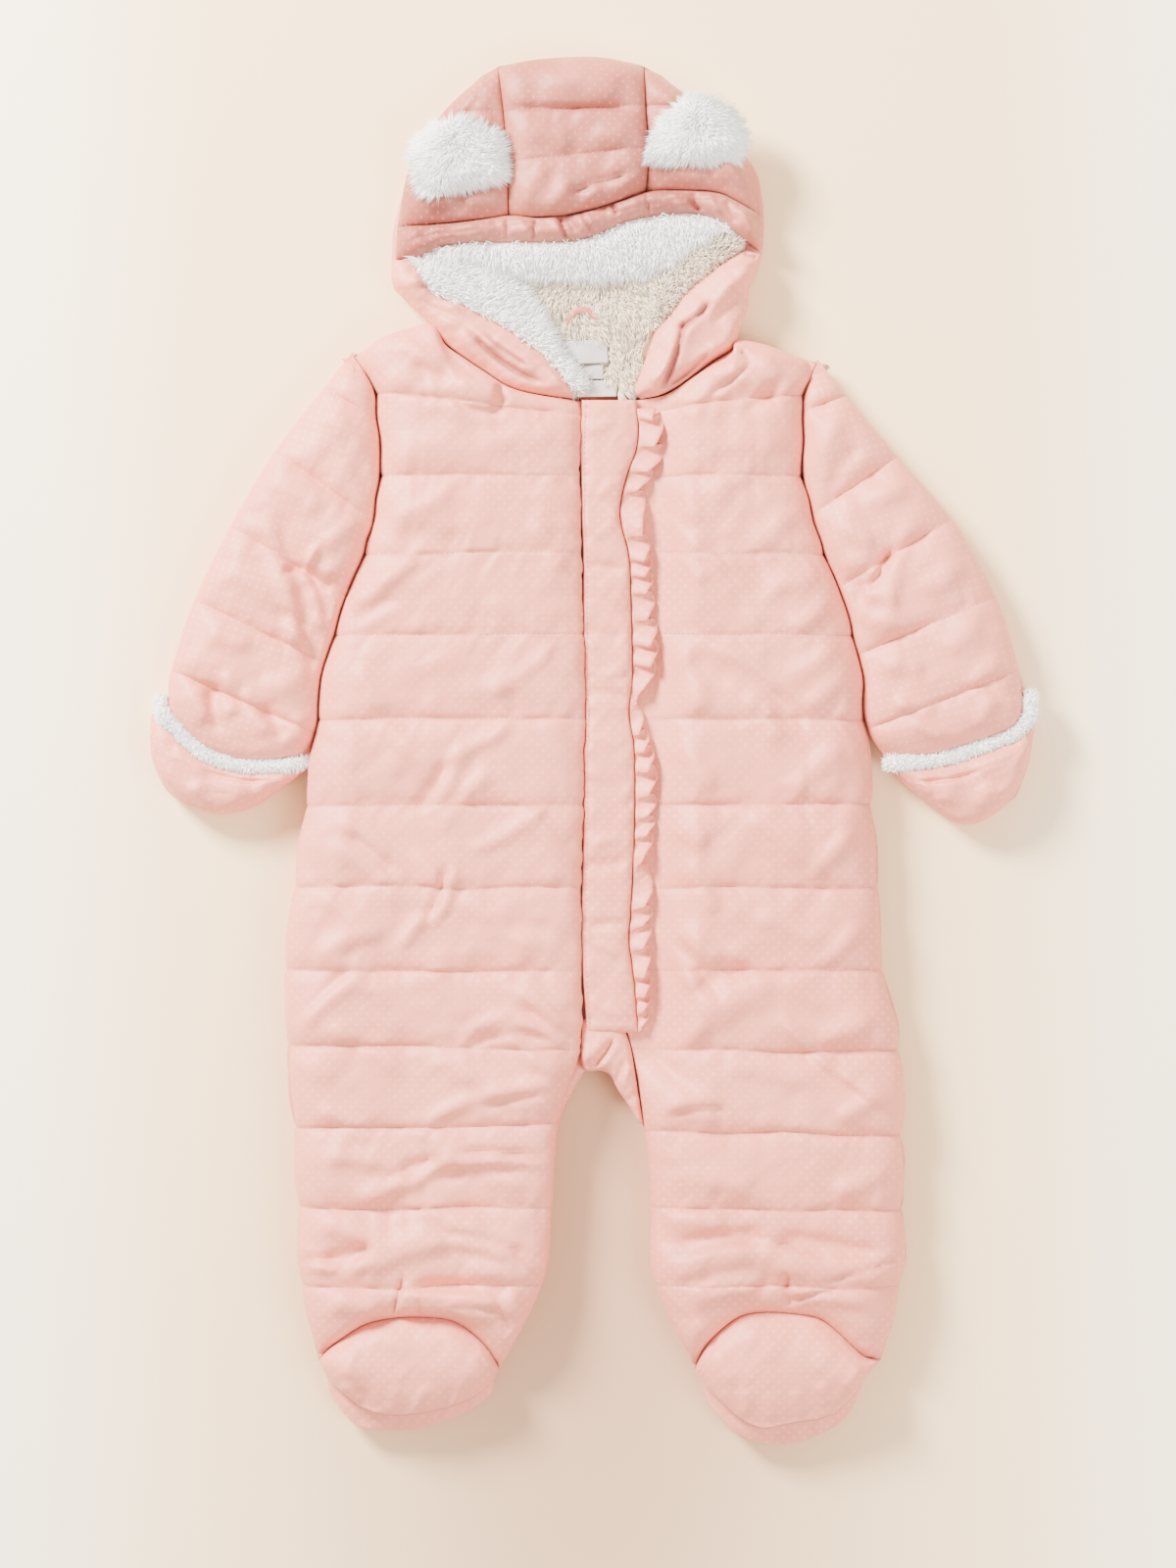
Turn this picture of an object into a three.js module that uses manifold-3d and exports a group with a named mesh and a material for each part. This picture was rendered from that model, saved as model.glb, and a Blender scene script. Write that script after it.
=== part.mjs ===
// Baby snowsuit with hood, ears, mittens and feet, lying on its back, laid out flat.
// Millimetres. +X is the wearer's left, +Y runs to the hood, +Z up, the floor is z = 0.
// Each padded piece is a closed wall. Front panels lie on back panels, seam gaps are 0.3 mm.

import * as THREE from 'three';
import Module from 'manifold-3d';

const wasm = await Module();
wasm.setup();

// Driving dimensions
const seam = 0.3; // gap between two sewn pieces
const backTop = 11.85; // thickness of the back layer, shell, padding and plush
const frontFloor = backTop + seam; // inner face of the front layer
const bodyCrown = 31; // highest puff of the chest above the floor
const legCrown = 33;
const sleeveCrown = 30;
const quiltDepth = 6.5; // how far a quilting line pulls the wall in
const stepsPerChannel = 4; // rows of faces between two quilting lines
const panelColumns = 10;
const zipTop = 17.2; // top of the zip and of the front's edge that lies under the placket
const placketFloor = zipTop + seam;
const placketThick = 6.5;
const frillWaves = 24;
const frillWall = 1.8;
const frillSwing = 5.5; // how far a wave rises at the free edge
const trimWidth = 6.6; // plush trim at the mitten's mouth
const hoodBackTop = 7.85;
const hoodLiningTop = 15.85;
const hoodFloor = hoodBackTop + seam;
const crownHeight = 33;
const labelThick = 1.1;

// Outlines, in rows with named columns: outer rail x y, inner rail x y, for each quilting line
const frontRightRows = [
  // outerX outerY innerX innerY
  [-133, 220, -6, 195],
  [-121, 199, -6, 187],
  [-118, 153, -7, 153],
  [-127, 109, -6, 110],
  [-145, 64, -5, 65],
  [-154, 17, -4, 18],
  [-160, -31, -5, -30],
  [-166, -76, -6, -76],
  [-171, -122, -6, -122],
  [-170, -164, -7, -166],
  [-166, -210, -19, -207],
  [-164, -254, -23, -254],
  [-162, -298, -28, -297],
  [-153, -340, -52, -345],
];
const frontLeftRows = [
  // outerX outerY innerX innerY
  [125, 216, 8, 195],
  [118, 198, 8, 187],
  [117, 153, 8, 153],
  [129, 109, 8, 110],
  [145, 64, 8, 65],
  [152, 17, 8, 18],
  [156, -30, 8, -30],
  [159, -76, 8, -76],
  [162, -122, 8, -122],
  [172, -167, 22, -166],
  [173, -214, 29, -211],
  [173, -256, 33, -254],
  [172, -298, 35, -297],
  [161, -340, 57, -345],
];
const sleeveRightRows = [
  // outerX outerY innerX innerY, the inner rail starts along the armhole
  [-134, 222, -112, 214],
  [-150, 202, -108, 176],
  [-177, 167, -110, 118],
  [-202, 125, -134, 84],
  [-222, 84, -144, 46],
  [-235, 45, -151, 8],
];
const sleeveLeftRows = [
  // outerX outerY innerX innerY
  [126, 218, 104, 210],
  [141, 198, 104, 183],
  [170, 164, 112, 124],
  [200, 129, 136, 90],
  [225, 86, 145, 52],
  [238, 45, 154, 12],
];
// Edges that aren't straight: points x y from the outer rail to the inner one
const neckRight = [[-133, 220], [-115, 231], [-102, 235], [-89, 237], [-82, 226], [-71, 218], [-59, 210],
  [-50, 204], [-40, 200], [-25, 197], [-6, 195]];
const neckLeft = [[125, 216], [107, 222], [97, 226], [80, 229], [78, 223], [67, 216], [56, 208], [46, 201],
  [37, 197], [23, 195], [8, 195]];
const toeArcRight = [[-153, -340], [-144, -331], [-128, -320], [-113, -316], [-97, -315], [-79, -317],
  [-66, -325], [-57, -335], [-52, -345]];
const toeArcLeft = [[161, -340], [152, -338], [145, -332], [138, -325], [128, -317], [119, -314], [99, -312],
  [84, -314], [72, -322], [63, -332], [57, -345]];
const soleSeamRight = [[-148, -350], [-137, -359], [-125, -367], [-111, -370], [-90, -368], [-68, -361], [-55, -351]];
const soleSeamLeft = [[151, -350], [139, -366], [126, -372], [112, -374], [95, -377], [81, -371], [62, -353]];
const footRight = [[-147, -358], [-138, -371], [-127, -378], [-105, -379], [-88, -376], [-70, -369], [-56, -359]];
const footLeft = [[149, -359], [141, -373], [128, -381], [114, -386], [102, -387], [88, -385], [77, -378], [64, -363]];
// Middle line of the plush trim, from the sleeve's outer edge to its inner one
const trimRightLine = [[-240, 31], [-241, 23], [-235, 15], [-227, 7], [-219, -1], [-207, -6], [-194, -9], [-180, -9],
  [-167, -8], [-158, -6]];
const trimLeftLine = [[244, 33], [244, 23], [239, 12], [228, 6], [214, 1], [199, -4], [187, -6], [175, -7], [164, -7]];
const mittenRightRim = {
  outer: [[-246, 21], [-247, 7], [-245, -8], [-238, -22]],
  inner: [[-158, -8], [-164, -14], [-173, -20]],
  hem: [[-238, -22], [-228, -30], [-214, -35], [-203, -35], [-187, -30], [-173, -20]],
};
const mittenLeftRim = {
  outer: [[247, 20], [246, 7], [243, -9], [237, -25]],
  inner: [[164, -9], [168, -13], [175, -19]],
  hem: [[237, -25], [222, -37], [211, -41], [200, -39], [188, -30], [175, -19]],
};
const placketRows = [
  // leftX rightX y
  [-6, 24, 195],
  [-7, 25, 172],
  [-6, 18, 150],
  [-6, 15, 131],
  [-5, 20, 108],
  [-5, 21, 87],
  [-5, 22, 43],
  [-4, 20, 21],
  [-5, 23, -1],
  [-5, 23, -45],
  [-6, 21, -89],
  [-6, 20, -106],
  [-5, 23, -130],
  [-3, 25, -157],
];
const placketCreases = [101, 65, 32, -19, -63, -100]; // y of the soft creases across the placket
const frillReach = [
  // y and x of the free edge
  [190, 32],
  [180, 36],
  [162, 35],
  [144, 26],
  [122, 28],
  [86, 31],
  [50, 33],
  [30, 26],
  [17, 25],
  [-10, 32],
  [-45, 31],
  [-61, 28],
  [-80, 30],
  [-109, 29],
  [-135, 29],
  [-154, 27],
];
const gussetOutline = [[-10, -160], [8, -158], [22, -155], [32, -175], [34, -215], [26, -206], [19, -197], [12, -186],
  [10, -181], [-1, -177], [-9, -176]];
const hoodOutline = [[-60, 196], [-97, 225], [-92, 240], [-99, 247], [-108, 255], [-112, 262], [-112, 287], [-109, 302],
  [-104, 319], [-97, 338], [-83, 356], [-67, 371], [-53, 382], [-28, 386], [3, 387], [26, 384], [39, 376], [53, 365],
  [72, 346], [90, 327], [95, 309], [96, 290], [94, 273], [88, 258], [86, 245], [81, 225], [60, 196], [0, 190]];
const hoodTopRight = [[-62, 377], [-83, 357], [-97, 338], [-105, 319], [-110, 296]];
const hoodTopLeft = [[39, 377], [53, 366], [73, 347], [91, 325], [95, 302]];
const hoodSeamRight = [[-53, 382], [-49, 375], [-50, 362], [-49, 348], [-48, 333], [-46, 317], [-47, 298]];
const hoodSeamLeft = [[29, 382], [29, 366], [31, 340], [31, 326], [30, 311]];
const hoodTopCentre = [[-53, 382], [-28, 386], [3, 387], [29, 382]];
const bandSeam = [[-109, 292], [-89, 293], [-68, 295], [-47, 298], [-29, 297], [-9, 299], [12, 305], [30, 311], [46, 312],
  [68, 311], [80, 306], [94, 298]];
const faceEdge = [[-110, 274], [-94, 275], [-85, 280], [-72, 282], [-48, 283], [-21, 283], [-8, 284], [5, 288], [18, 294],
  [31, 297], [53, 299], [68, 296], [81, 287], [93, 279]];
const furTopEdge = [[-100, 272], [-79, 271], [-67, 273], [-53, 268], [-32, 266], [-11, 265], [9, 265], [30, 267],
  [45, 274], [57, 281], [66, 287], [76, 290]];
const furRightOuter = [[-98, 262], [-87, 254], [-72, 248], [-57, 240], [-44, 233], [-32, 224], [-21, 214], [-10, 199]];
const furRightInner = [[-72, 270], [-60, 265], [-50, 261], [-41, 256], [-35, 248], [-28, 237], [-24, 228], [-18, 217],
  [-5, 205]];
const bandLeftInner = [[85, 279], [68, 268], [53, 256], [43, 243], [35, 233], [30, 219], [22, 199]];
const bandLeftOuter = [[93, 277], [94, 273], [88, 258], [86, 245], [82, 234], [60, 217], [26, 198]];
const liningSideOutline = [[36, 264], [52, 278], [66, 288], [84, 284], [67, 270], [52, 258], [42, 245], [33, 234]];
const earRightOutline = [[-95, 341], [-75, 350], [-59, 344], [-51, 341], [-49.5, 330], [-48.2, 318], [-60, 314],
  [-79, 310], [-93, 306], [-97, 314], [-99, 328]];
const earLeftOutline = [[32.2, 328], [34, 338], [41, 351], [53, 361], [68, 360], [80, 351], [84, 341], [80, 328],
  [61, 326]];

// Folds of the shell: trough or ridge along a segment
const bodyFolds = [
  // x1 y1 x2 y2 width height
  [-96, 196, -54, 188, 12, 4], // soft bulge below the right shoulder
  [-140, -232, -20, -229, 9, -2.5],
  [-125, -283, -85, -268, 9, 3.5],
  [-110, -306, -55, -312, 10, 5], // bunched cloth above the right toe cap
  [35, -288, 90, -278, 11, 4],
  [90, -278, 172, -290, 11, 4.5],
  [55, -150, 118, -128, 12, 3.5],
  [45, 60, 62, 20, 12, 3],
  [50, -60, 70, -90, 12, 3],
];

const paint = {
  shell: { color: '#e6bfb1', roughness: 0.6 },
  plush: { color: '#efe6d6', roughness: 1 },
  trim: { color: '#f4efe8', roughness: 1 },
  label: { color: '#f2ece2', roughness: 0.7 },
  zip: { color: '#d9a99c', roughness: 0.6 },
};

const garment = new THREE.Group();

function curveOf(points) {
  return new THREE.SplineCurve(points.map(([x, y]) => new THREE.Vector2(x, y)));
}

// Column places, closer together towards both rails, where the wall turns down
function columnPlaces(count) {
  return Array.from({ length: count + 1 }, (_, i) => (1 - Math.cos((Math.PI * i) / count)) / 2);
}

// Rows of plan points between two rails. A row is straight from rail to rail, and near the ends
// it bends towards the head and hem curves, over `reach` quilting channels.
function planOf(rows, { head, hem, columns = panelColumns, steps = stepsPerChannel, reach = 1, placesOn }) {
  const outer = curveOf(rows.map(([x, y]) => [x, y]));
  const inner = curveOf(rows.map(([, , x, y]) => [x, y]));
  const channels = rows.length - 1;
  const evenPlaces = columnPlaces(columns);
  const headCurve = head && curveOf(head);
  const hemCurve = hem && curveOf(hem);
  const plan = [];
  for (let row = 0; row <= channels * steps; row += 1) {
    const v = row / (channels * steps);
    const along = v * channels;
    const from = outer.getPoint(v);
    const to = inner.getPoint(v);
    const headShare = Math.max(0, 1 - along / reach);
    const hemShare = Math.max(0, 1 - (channels - along) / reach);
    const places = placesOn ? placesOn(from, to) : evenPlaces;
    plan.push(places.map((u) => {
      const point = from.clone().lerp(to, u);
      if (headCurve) {
        const straight = outer.getPoint(0).lerp(inner.getPoint(0), u);
        point.addScaledVector(headCurve.getPointAt(u).sub(straight), headShare);
      }
      if (hemCurve) {
        const straight = outer.getPoint(1).lerp(inner.getPoint(1), u);
        point.addScaledVector(hemCurve.getPointAt(u).sub(straight), hemShare);
      }
      return point;
    }));
  }
  return plan;
}

// Plan points between two curves, the rows running from the first curve to the second
function planBetween(first, second, columns, rows) {
  const from = curveOf(first);
  const to = curveOf(second);
  const places = columnPlaces(columns);
  return Array.from({ length: rows + 1 }, (_, row) => places.map(
    (u) => from.getPointAt(u).lerp(to.getPointAt(u), row / rows),
  ));
}

function rimOf(plan) {
  const last = plan.length - 1;
  const end = plan[0].length - 1;
  const ring = [];
  for (let i = 0; i < end; i += 1) ring.push([0, i]);
  for (let j = 0; j < last; j += 1) ring.push([j, end]);
  for (let i = end; i > 0; i -= 1) ring.push([last, i]);
  for (let j = last; j > 0; j -= 1) ring.push([j, 0]);
  return ring;
}

const footprint = (plan) => rimOf(plan).map(([row, column]) => plan[row][column].clone());

function signedArea(outline) {
  return outline.reduce((sum, p, i) => {
    const q = outline[(i + 1) % outline.length];
    return sum + (p.x * q.y - q.x * p.y) / 2;
  }, 0);
}

// The outline moved inwards by `distance`, each point along the mean of its two edges' normals
function inset(outline, distance) {
  const turn = Math.sign(signedArea(outline));
  const count = outline.length;
  return outline.map((p, i) => {
    const before = p.clone().sub(outline[(i + count - 1) % count]).normalize();
    const after = outline[(i + 1) % count].clone().sub(p).normalize();
    const along = before.clone().add(after);
    if (along.length() < 1e-6) along.set(-before.y, before.x);
    along.normalize();
    const normal = new THREE.Vector2(-along.y, along.x).multiplyScalar(turn);
    const cosine = Math.max(0.7, Math.abs(before.dot(along)));
    return p.clone().addScaledVector(normal, distance / cosine);
  });
}

// Triangles of a flat outline: the best-shaped ear is clipped first, so points in line stay in use
function earTriangles(outline) {
  const turn = Math.sign(signedArea(outline));
  const cross = (a, b, c) => turn * ((b.x - a.x) * (c.y - a.y) - (b.y - a.y) * (c.x - a.x));
  const left = outline.map((_, i) => i);
  const triangles = [];
  while (left.length > 3) {
    let best = { quality: 0 };
    left.forEach((b, k) => {
      const a = left[(k + left.length - 1) % left.length];
      const c = left[(k + 1) % left.length];
      const [p, q, r] = [outline[a], outline[b], outline[c]];
      const area = cross(p, q, r);
      const quality = area / Math.max(p.distanceToSquared(q), q.distanceToSquared(r), r.distanceToSquared(p));
      if (quality <= best.quality) return;
      const blocked = left.some((i) => {
        if (i === a || i === b || i === c) return false;
        const o = outline[i];
        const slack = -1e-6;
        return cross(p, q, o) > slack && cross(q, r, o) > slack && cross(r, p, o) > slack;
      });
      if (!blocked) best = { quality, k, triangle: [a, b, c] };
    });
    if (!best.triangle) throw new Error('the outline crosses itself');
    triangles.push(best.triangle);
    left.splice(best.k, 1);
  }
  return [...triangles, left];
}

// The plan's edge drawn in by `distance`: across each row, and along the columns, both easing to
// nothing in the middle, so that close points keep their order
function drawnIn(plan, distance) {
  const lastRow = plan.length - 1;
  const lastColumn = plan[0].length - 1;
  return rimOf(plan).map(([j, i]) => {
    const p = plan[j][i];
    const across = plan[j][lastColumn].clone().sub(plan[j][0]);
    const share = p.distanceTo(plan[j][0]) / across.length();
    const [above, below] = j === lastRow ? [plan[j - 1][i], p] : [p, plan[j + 1][i]];
    const along = below.clone().sub(above).normalize();
    return p.clone()
      .addScaledVector(across.normalize(), distance * (1 - 2 * share))
      .addScaledVector(along, distance * (1 - (2 * j) / lastRow));
  });
}

function geometryOf(vertices, triangles) {
  const volume = triangles.reduce((sum, [a, b, c]) => {
    const [p, q, r] = [vertices[a], vertices[b], vertices[c]];
    return sum + p.dot(q.clone().cross(r)) / 6;
  }, 0);
  const ordered = volume < 0 ? triangles.map(([a, b, c]) => [a, c, b]) : triangles;
  const geometry = new THREE.BufferGeometry();
  geometry.setAttribute('position', new THREE.Float32BufferAttribute(vertices.flatMap((p) => [p.x, p.y, p.z]), 3));
  geometry.setIndex(ordered.flat());
  return geometry;
}

const raised = (point, z) => new THREE.Vector3(point.x, point.y, z);

function joinRings(triangles, first, second, count) {
  for (let i = 0; i < count; i += 1) {
    const next = (i + 1) % count;
    triangles.push([first + i, second + i, first + next], [first + next, second + i, second + next]);
  }
}

// A padded panel: its top is a grid of heights over the plan, and below the grid's edge the wall
// goes down through the levels of `side` to a flat underside.
function panel(plan, heightAt, side) {
  const ring = rimOf(plan);
  const edge = inset(ring.map(([row, column]) => plan[row][column]), seam / 2);
  ring.forEach(([row, column], i) => plan[row][column].copy(edge[i]));
  const width = plan[0].length;
  const vertices = plan.flatMap((row, j) => row.map((p, i) => raised(p, heightAt(p, i, j))));
  const triangles = [];
  for (let j = 0; j < plan.length - 1; j += 1) {
    for (let i = 0; i < width - 1; i += 1) {
      const a = j * width + i;
      triangles.push([a, a + 1, a + width], [a + 1, a + width + 1, a + width]);
    }
  }
  let above = ring.map(([row, column]) => row * width + column);
  side.forEach(([distance, z]) => {
    const start = vertices.length;
    drawnIn(plan, distance).forEach((p) => vertices.push(raised(p, z)));
    const below = above.map((_, i) => start + i);
    above.forEach((a, i) => {
      const next = (i + 1) % above.length;
      triangles.push([a, below[i], above[next]], [above[next], below[i], below[next]]);
    });
    above = below;
  });
  const lowest = above.map((k) => new THREE.Vector2(vertices[k].x, vertices[k].y));
  earTriangles(lowest).forEach((t) => triangles.push(t.map((i) => above[i])));
  return geometryOf(vertices, matchWinding(triangles));
}

// Turns each triangle so that two neighbours run along their shared edge in opposite ways
function matchWinding(triangles) {
  const edges = new Map();
  const key = (a, b) => (a < b ? `${a}_${b}` : `${b}_${a}`);
  triangles.forEach((t, k) => t.forEach((a, i) => {
    const name = key(a, t[(i + 1) % 3]);
    edges.set(name, [...(edges.get(name) ?? []), k]);
  }));
  const done = new Set([0]);
  const queue = [0];
  while (queue.length > 0) {
    const t = triangles[queue.pop()];
    t.forEach((a, i) => {
      const b = t[(i + 1) % 3];
      edges.get(key(a, b)).filter((k) => !done.has(k)).forEach((k) => {
        const other = triangles[k];
        const same = other.some((c, j) => c === a && other[(j + 1) % 3] === b);
        if (same) other.reverse();
        done.add(k);
        queue.push(k);
      });
    });
  }
  return triangles;
}

// A flat piece through levels of inset and height, its outline drawn in by `ringAt`
function layered(ringAt, levels) {
  const rings = levels.map(([distance]) => ringAt(distance));
  const count = rings[0].length;
  const vertices = rings.flatMap((ring, k) => ring.map((p) => raised(p, levels[k][1])));
  const triangles = [];
  for (let k = 1; k < rings.length; k += 1) joinRings(triangles, (k - 1) * count, k * count, count);
  const top = (levels.length - 1) * count;
  earTriangles(rings[0]).forEach((t) => triangles.push([...t]));
  earTriangles(rings.at(-1)).forEach((t) => triangles.push(t.map((i) => i + top)));
  return geometryOf(vertices, matchWinding(triangles));
}
const slab = (outline, levels) => layered((distance) => inset(outline, distance), levels);
function slabOfPlan(plan, levels) {
  const ring = rimOf(plan);
  const edge = inset(ring.map(([row, column]) => plan[row][column]), seam / 2);
  ring.forEach(([row, column], i) => plan[row][column].copy(edge[i]));
  return layered((distance) => drawnIn(plan, distance), levels);
}

const outlineOf = (points) => points.map(([x, y]) => new THREE.Vector2(x, y));
const prism = (outline, grow, low, high) => slab(outline, [[-grow, low], [-grow, high]]);
// The room that a finished piece takes, with the seam gap around it, from floor to well above
const roomOf = (plan) => prism(footprint(plan), seam, -5, 60);

function solidOf(geometry) {
  return new wasm.Manifold(new wasm.Mesh({
    numProp: 3,
    vertProperties: new Float32Array(geometry.attributes.position.array),
    triVerts: new Uint32Array(geometry.index.array),
  }));
}

function meshOf(solid) {
  const { vertProperties, triVerts, numProp } = solid.getMesh();
  const geometry = new THREE.BufferGeometry();
  const positions = [];
  for (let i = 0; i < vertProperties.length; i += numProp) positions.push(...vertProperties.slice(i, i + 3));
  geometry.setAttribute('position', new THREE.Float32BufferAttribute(positions, 3));
  geometry.setIndex(Array.from(triVerts));
  return geometry;
}

// The piece less its neighbours, keeping its largest body
function trimmed(geometry, ...cutters) {
  const cut = cutters.reduce((solid, cutter) => solid.subtract(solidOf(cutter)), solidOf(geometry));
  const bodies = cut.decompose().sort((a, b) => b.volume() - a.volume());
  return meshOf(bodies[0]);
}

function addPiece(name, geometry, { color, roughness }) {
  const finished = geometry.toNonIndexed();
  finished.computeVertexNormals();
  const mesh = new THREE.Mesh(finished, new THREE.MeshStandardMaterial({ color, roughness, metalness: 0 }));
  mesh.name = name;
  garment.add(mesh);
}

// Quarter round: 0 at the seam, 1 from `radius` inwards
const roll = (distance, radius) => (
  distance >= radius ? 1 : Math.sqrt(1 - (1 - Math.max(0, distance) / radius) ** 2)
);

// Padding between two quilting lines: 0 on a line, 1 midway
const puff = (row, steps) => {
  const t = (row % steps) / steps;
  return (4 * t * (1 - t)) ** 0.6;
};

function foldHeight({ x, y }, folds) {
  return folds.reduce((sum, [x1, y1, x2, y2, width, height]) => {
    const run = new THREE.Vector2(x2 - x1, y2 - y1);
    const offset = new THREE.Vector2(x - x1, y - y1);
    const along = THREE.MathUtils.clamp(offset.dot(run) / run.lengthSq(), 0, 1);
    const distance = offset.sub(run.multiplyScalar(along)).length();
    return sum + height * Math.exp(-((distance / width) ** 2));
  }, 0);
}

// Height of a quilted panel: a crown that rolls down to its own height at each edge
function quilted(plan, { crown, outerEdge, innerEdge, headEdge, hemEdge, rollWidth, steps, folds = [] }) {
  const lastRow = plan.length - 1;
  const lastColumn = plan[0].length - 1;
  return (p, i, j) => {
    const fromOuter = p.distanceTo(plan[j][0]);
    const fromInner = p.distanceTo(plan[j][lastColumn]);
    const fromHead = p.distanceTo(plan[0][i]);
    const fromHem = p.distanceTo(plan[lastRow][i]);
    const top = typeof crown === 'function' ? crown(j / lastRow) : crown;
    const drop = (top - outerEdge) * (1 - roll(fromOuter, rollWidth))
      + (top - innerEdge) * (1 - roll(fromInner, rollWidth))
      + (top - headEdge) * (1 - roll(fromHead, rollWidth))
      + (top - hemEdge) * (1 - roll(fromHem, rollWidth));
    const lowest = Math.min(outerEdge, innerEdge, headEdge, hemEdge);
    const nearRail = Math.min(1, Math.min(fromOuter, fromInner) / rollWidth + 0.25);
    const groove = quiltDepth * (1 - puff(j, steps)) * nearRail * (j > 0 && j < lastRow ? 1 : 0);
    const inside = Math.min(fromOuter, fromInner, fromHead, fromHem) > 0.5;
    const fold = inside ? foldHeight(p, folds) * nearRail : 0;
    return Math.max(lowest, top - drop - groove + fold);
  };
}

const wallDown = [[0, frontFloor]];
const wallToFloor = [[0.2, 8], [1.6, 3], [4.5, 0]];

// Body: two backs, two fronts
function bodySide(side, rows, head, hem, innerEdge) {
  const plan = planOf(rows, { head, hem, reach: 1 });
  const heights = quilted(plan, {
    crown: (v) => THREE.MathUtils.lerp(bodyCrown, legCrown, v),
    outerEdge: 13.5,
    innerEdge,
    headEdge: 19,
    hemEdge: 19,
    rollWidth: 26,
    steps: stepsPerChannel,
    folds: bodyFolds,
  });
  const geometry = panel(plan, heights, wallDown);
  addPiece(`front_${side}`, geometry, paint.shell);
  return roomOf(plan);
}

// The front's edge under the placket lies flat and low, out to the frill's free edge
const bedEdge = 37;
const bedMargin = 14; // narrowest strip inside the inner rail
function bedPlaces(from, to) {
  const share = 1 - (Math.max(bedEdge, to.x + bedMargin) - to.x) / (from.x - to.x);
  return [...columnPlaces(8).map((u) => u * share), (share + 1) / 2, 1];
}
function leftFront() {
  const plan = planOf(frontLeftRows, { head: neckLeft, hem: toeArcLeft, placesOn: bedPlaces });
  const heights = quilted(plan, {
    crown: (v) => THREE.MathUtils.lerp(bodyCrown, legCrown, v),
    outerEdge: 13.5,
    innerEdge: 17,
    headEdge: 17,
    hemEdge: 19,
    rollWidth: 26,
    steps: stepsPerChannel,
    folds: bodyFolds,
  });
  const bedEnd = placketRows.at(-1)[2] - 16;
  const bedded = (p, i, j) => {
    const height = heights(p, i, j);
    const beside = p.x > bedEdge + 0.1 ? roll(p.x - bedEdge, 24) : 0;
    const below = p.y < bedEnd ? roll(bedEnd - p.y, 20) : 0;
    const share = Math.max(beside, below);
    return zipTop + Math.max(height - zipTop, frontFloor + 1 - zipTop) * share;
  };
  const lowAtSide = (p, i, j) => (i === plan[0].length - 1 && p.y > bedEnd ? zipTop : bedded(p, i, j));
  addPiece('front_left', panel(plan, lowAtSide, wallDown), paint.shell);
  return roomOf(plan);
}

const frontRightRoom = bodySide('right', frontRightRows, neckRight, toeArcRight, 18);
const frontLeftRoom = leftFront();

function backSide(side, rows, head, sole, cutters) {
  const middleX = 1;
  const straight = rows.map(([ox, oy, ix, iy]) => [ox, oy, iy > -170 ? middleX : ix, iy]);
  straight[straight.length - 1] = [...sole[0], ...sole.at(-1)];
  const plan = planOf(straight, { head, hem: sole });
  const geometry = slabOfPlan(plan, [[4.5, 0], [1.6, 3], [0.2, 8], [0, backTop]]);
  const back = trimmed(geometry, ...cutters);
  addPiece(`back_${side}`, back, paint.shell);
  return { back, room: roomOf(plan) };
}
const { room: backRightRoom } = backSide('right', frontRightRows, neckRight, soleSeamRight, []);
const { back: backLeft, room: backLeftRoom } = backSide('left', frontLeftRows, neckLeft, soleSeamLeft, [backRightRoom]);

const neckBridge = prism(outlineOf([[-14, 150], [16, 150], [16, 195], [-14, 195]]), seam, -5, 60);
const bodyRooms = [frontRightRoom, frontLeftRoom, backRightRoom, backLeftRoom, neckBridge];

// Zip and its guard, between the two fronts, under the placket
function zip() {
  const outline = outlineOf([[-5.4, 190], [7.5, 190], [7.5, -148], [-3.2, -148], [-5.3, -110], [-4.6, -30], [-3.2, 17],
    [-4.3, 64], [-5.2, 110], [-6.1, 153]]);
  return slab(outline, [[0, frontFloor], [0, zipTop - 1.2], [2.2, zipTop]]);
}
addPiece('zip', trimmed(zip(), frontRightRoom, frontLeftRoom), paint.zip);

function placket() {
  const rows = placketRows.map(([left, right, y]) => [left, y, right, y]);
  const plan = planOf(rows, { columns: 4, steps: 3 });
  const last = plan.length - 1;
  const heights = (p, i, j) => {
    const edge = i === 0 || i === 4 || j === 0 || j === last;
    const crease = placketCreases.reduce((sum, y) => sum + Math.exp(-(((p.y - y) / 7) ** 2)), 0);
    return placketFloor + placketThick * (edge ? 0.55 : 1) - (edge ? 0 : 1.8 * crease);
  };
  return panel(plan, heights, [[0, placketFloor]]);
}

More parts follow.
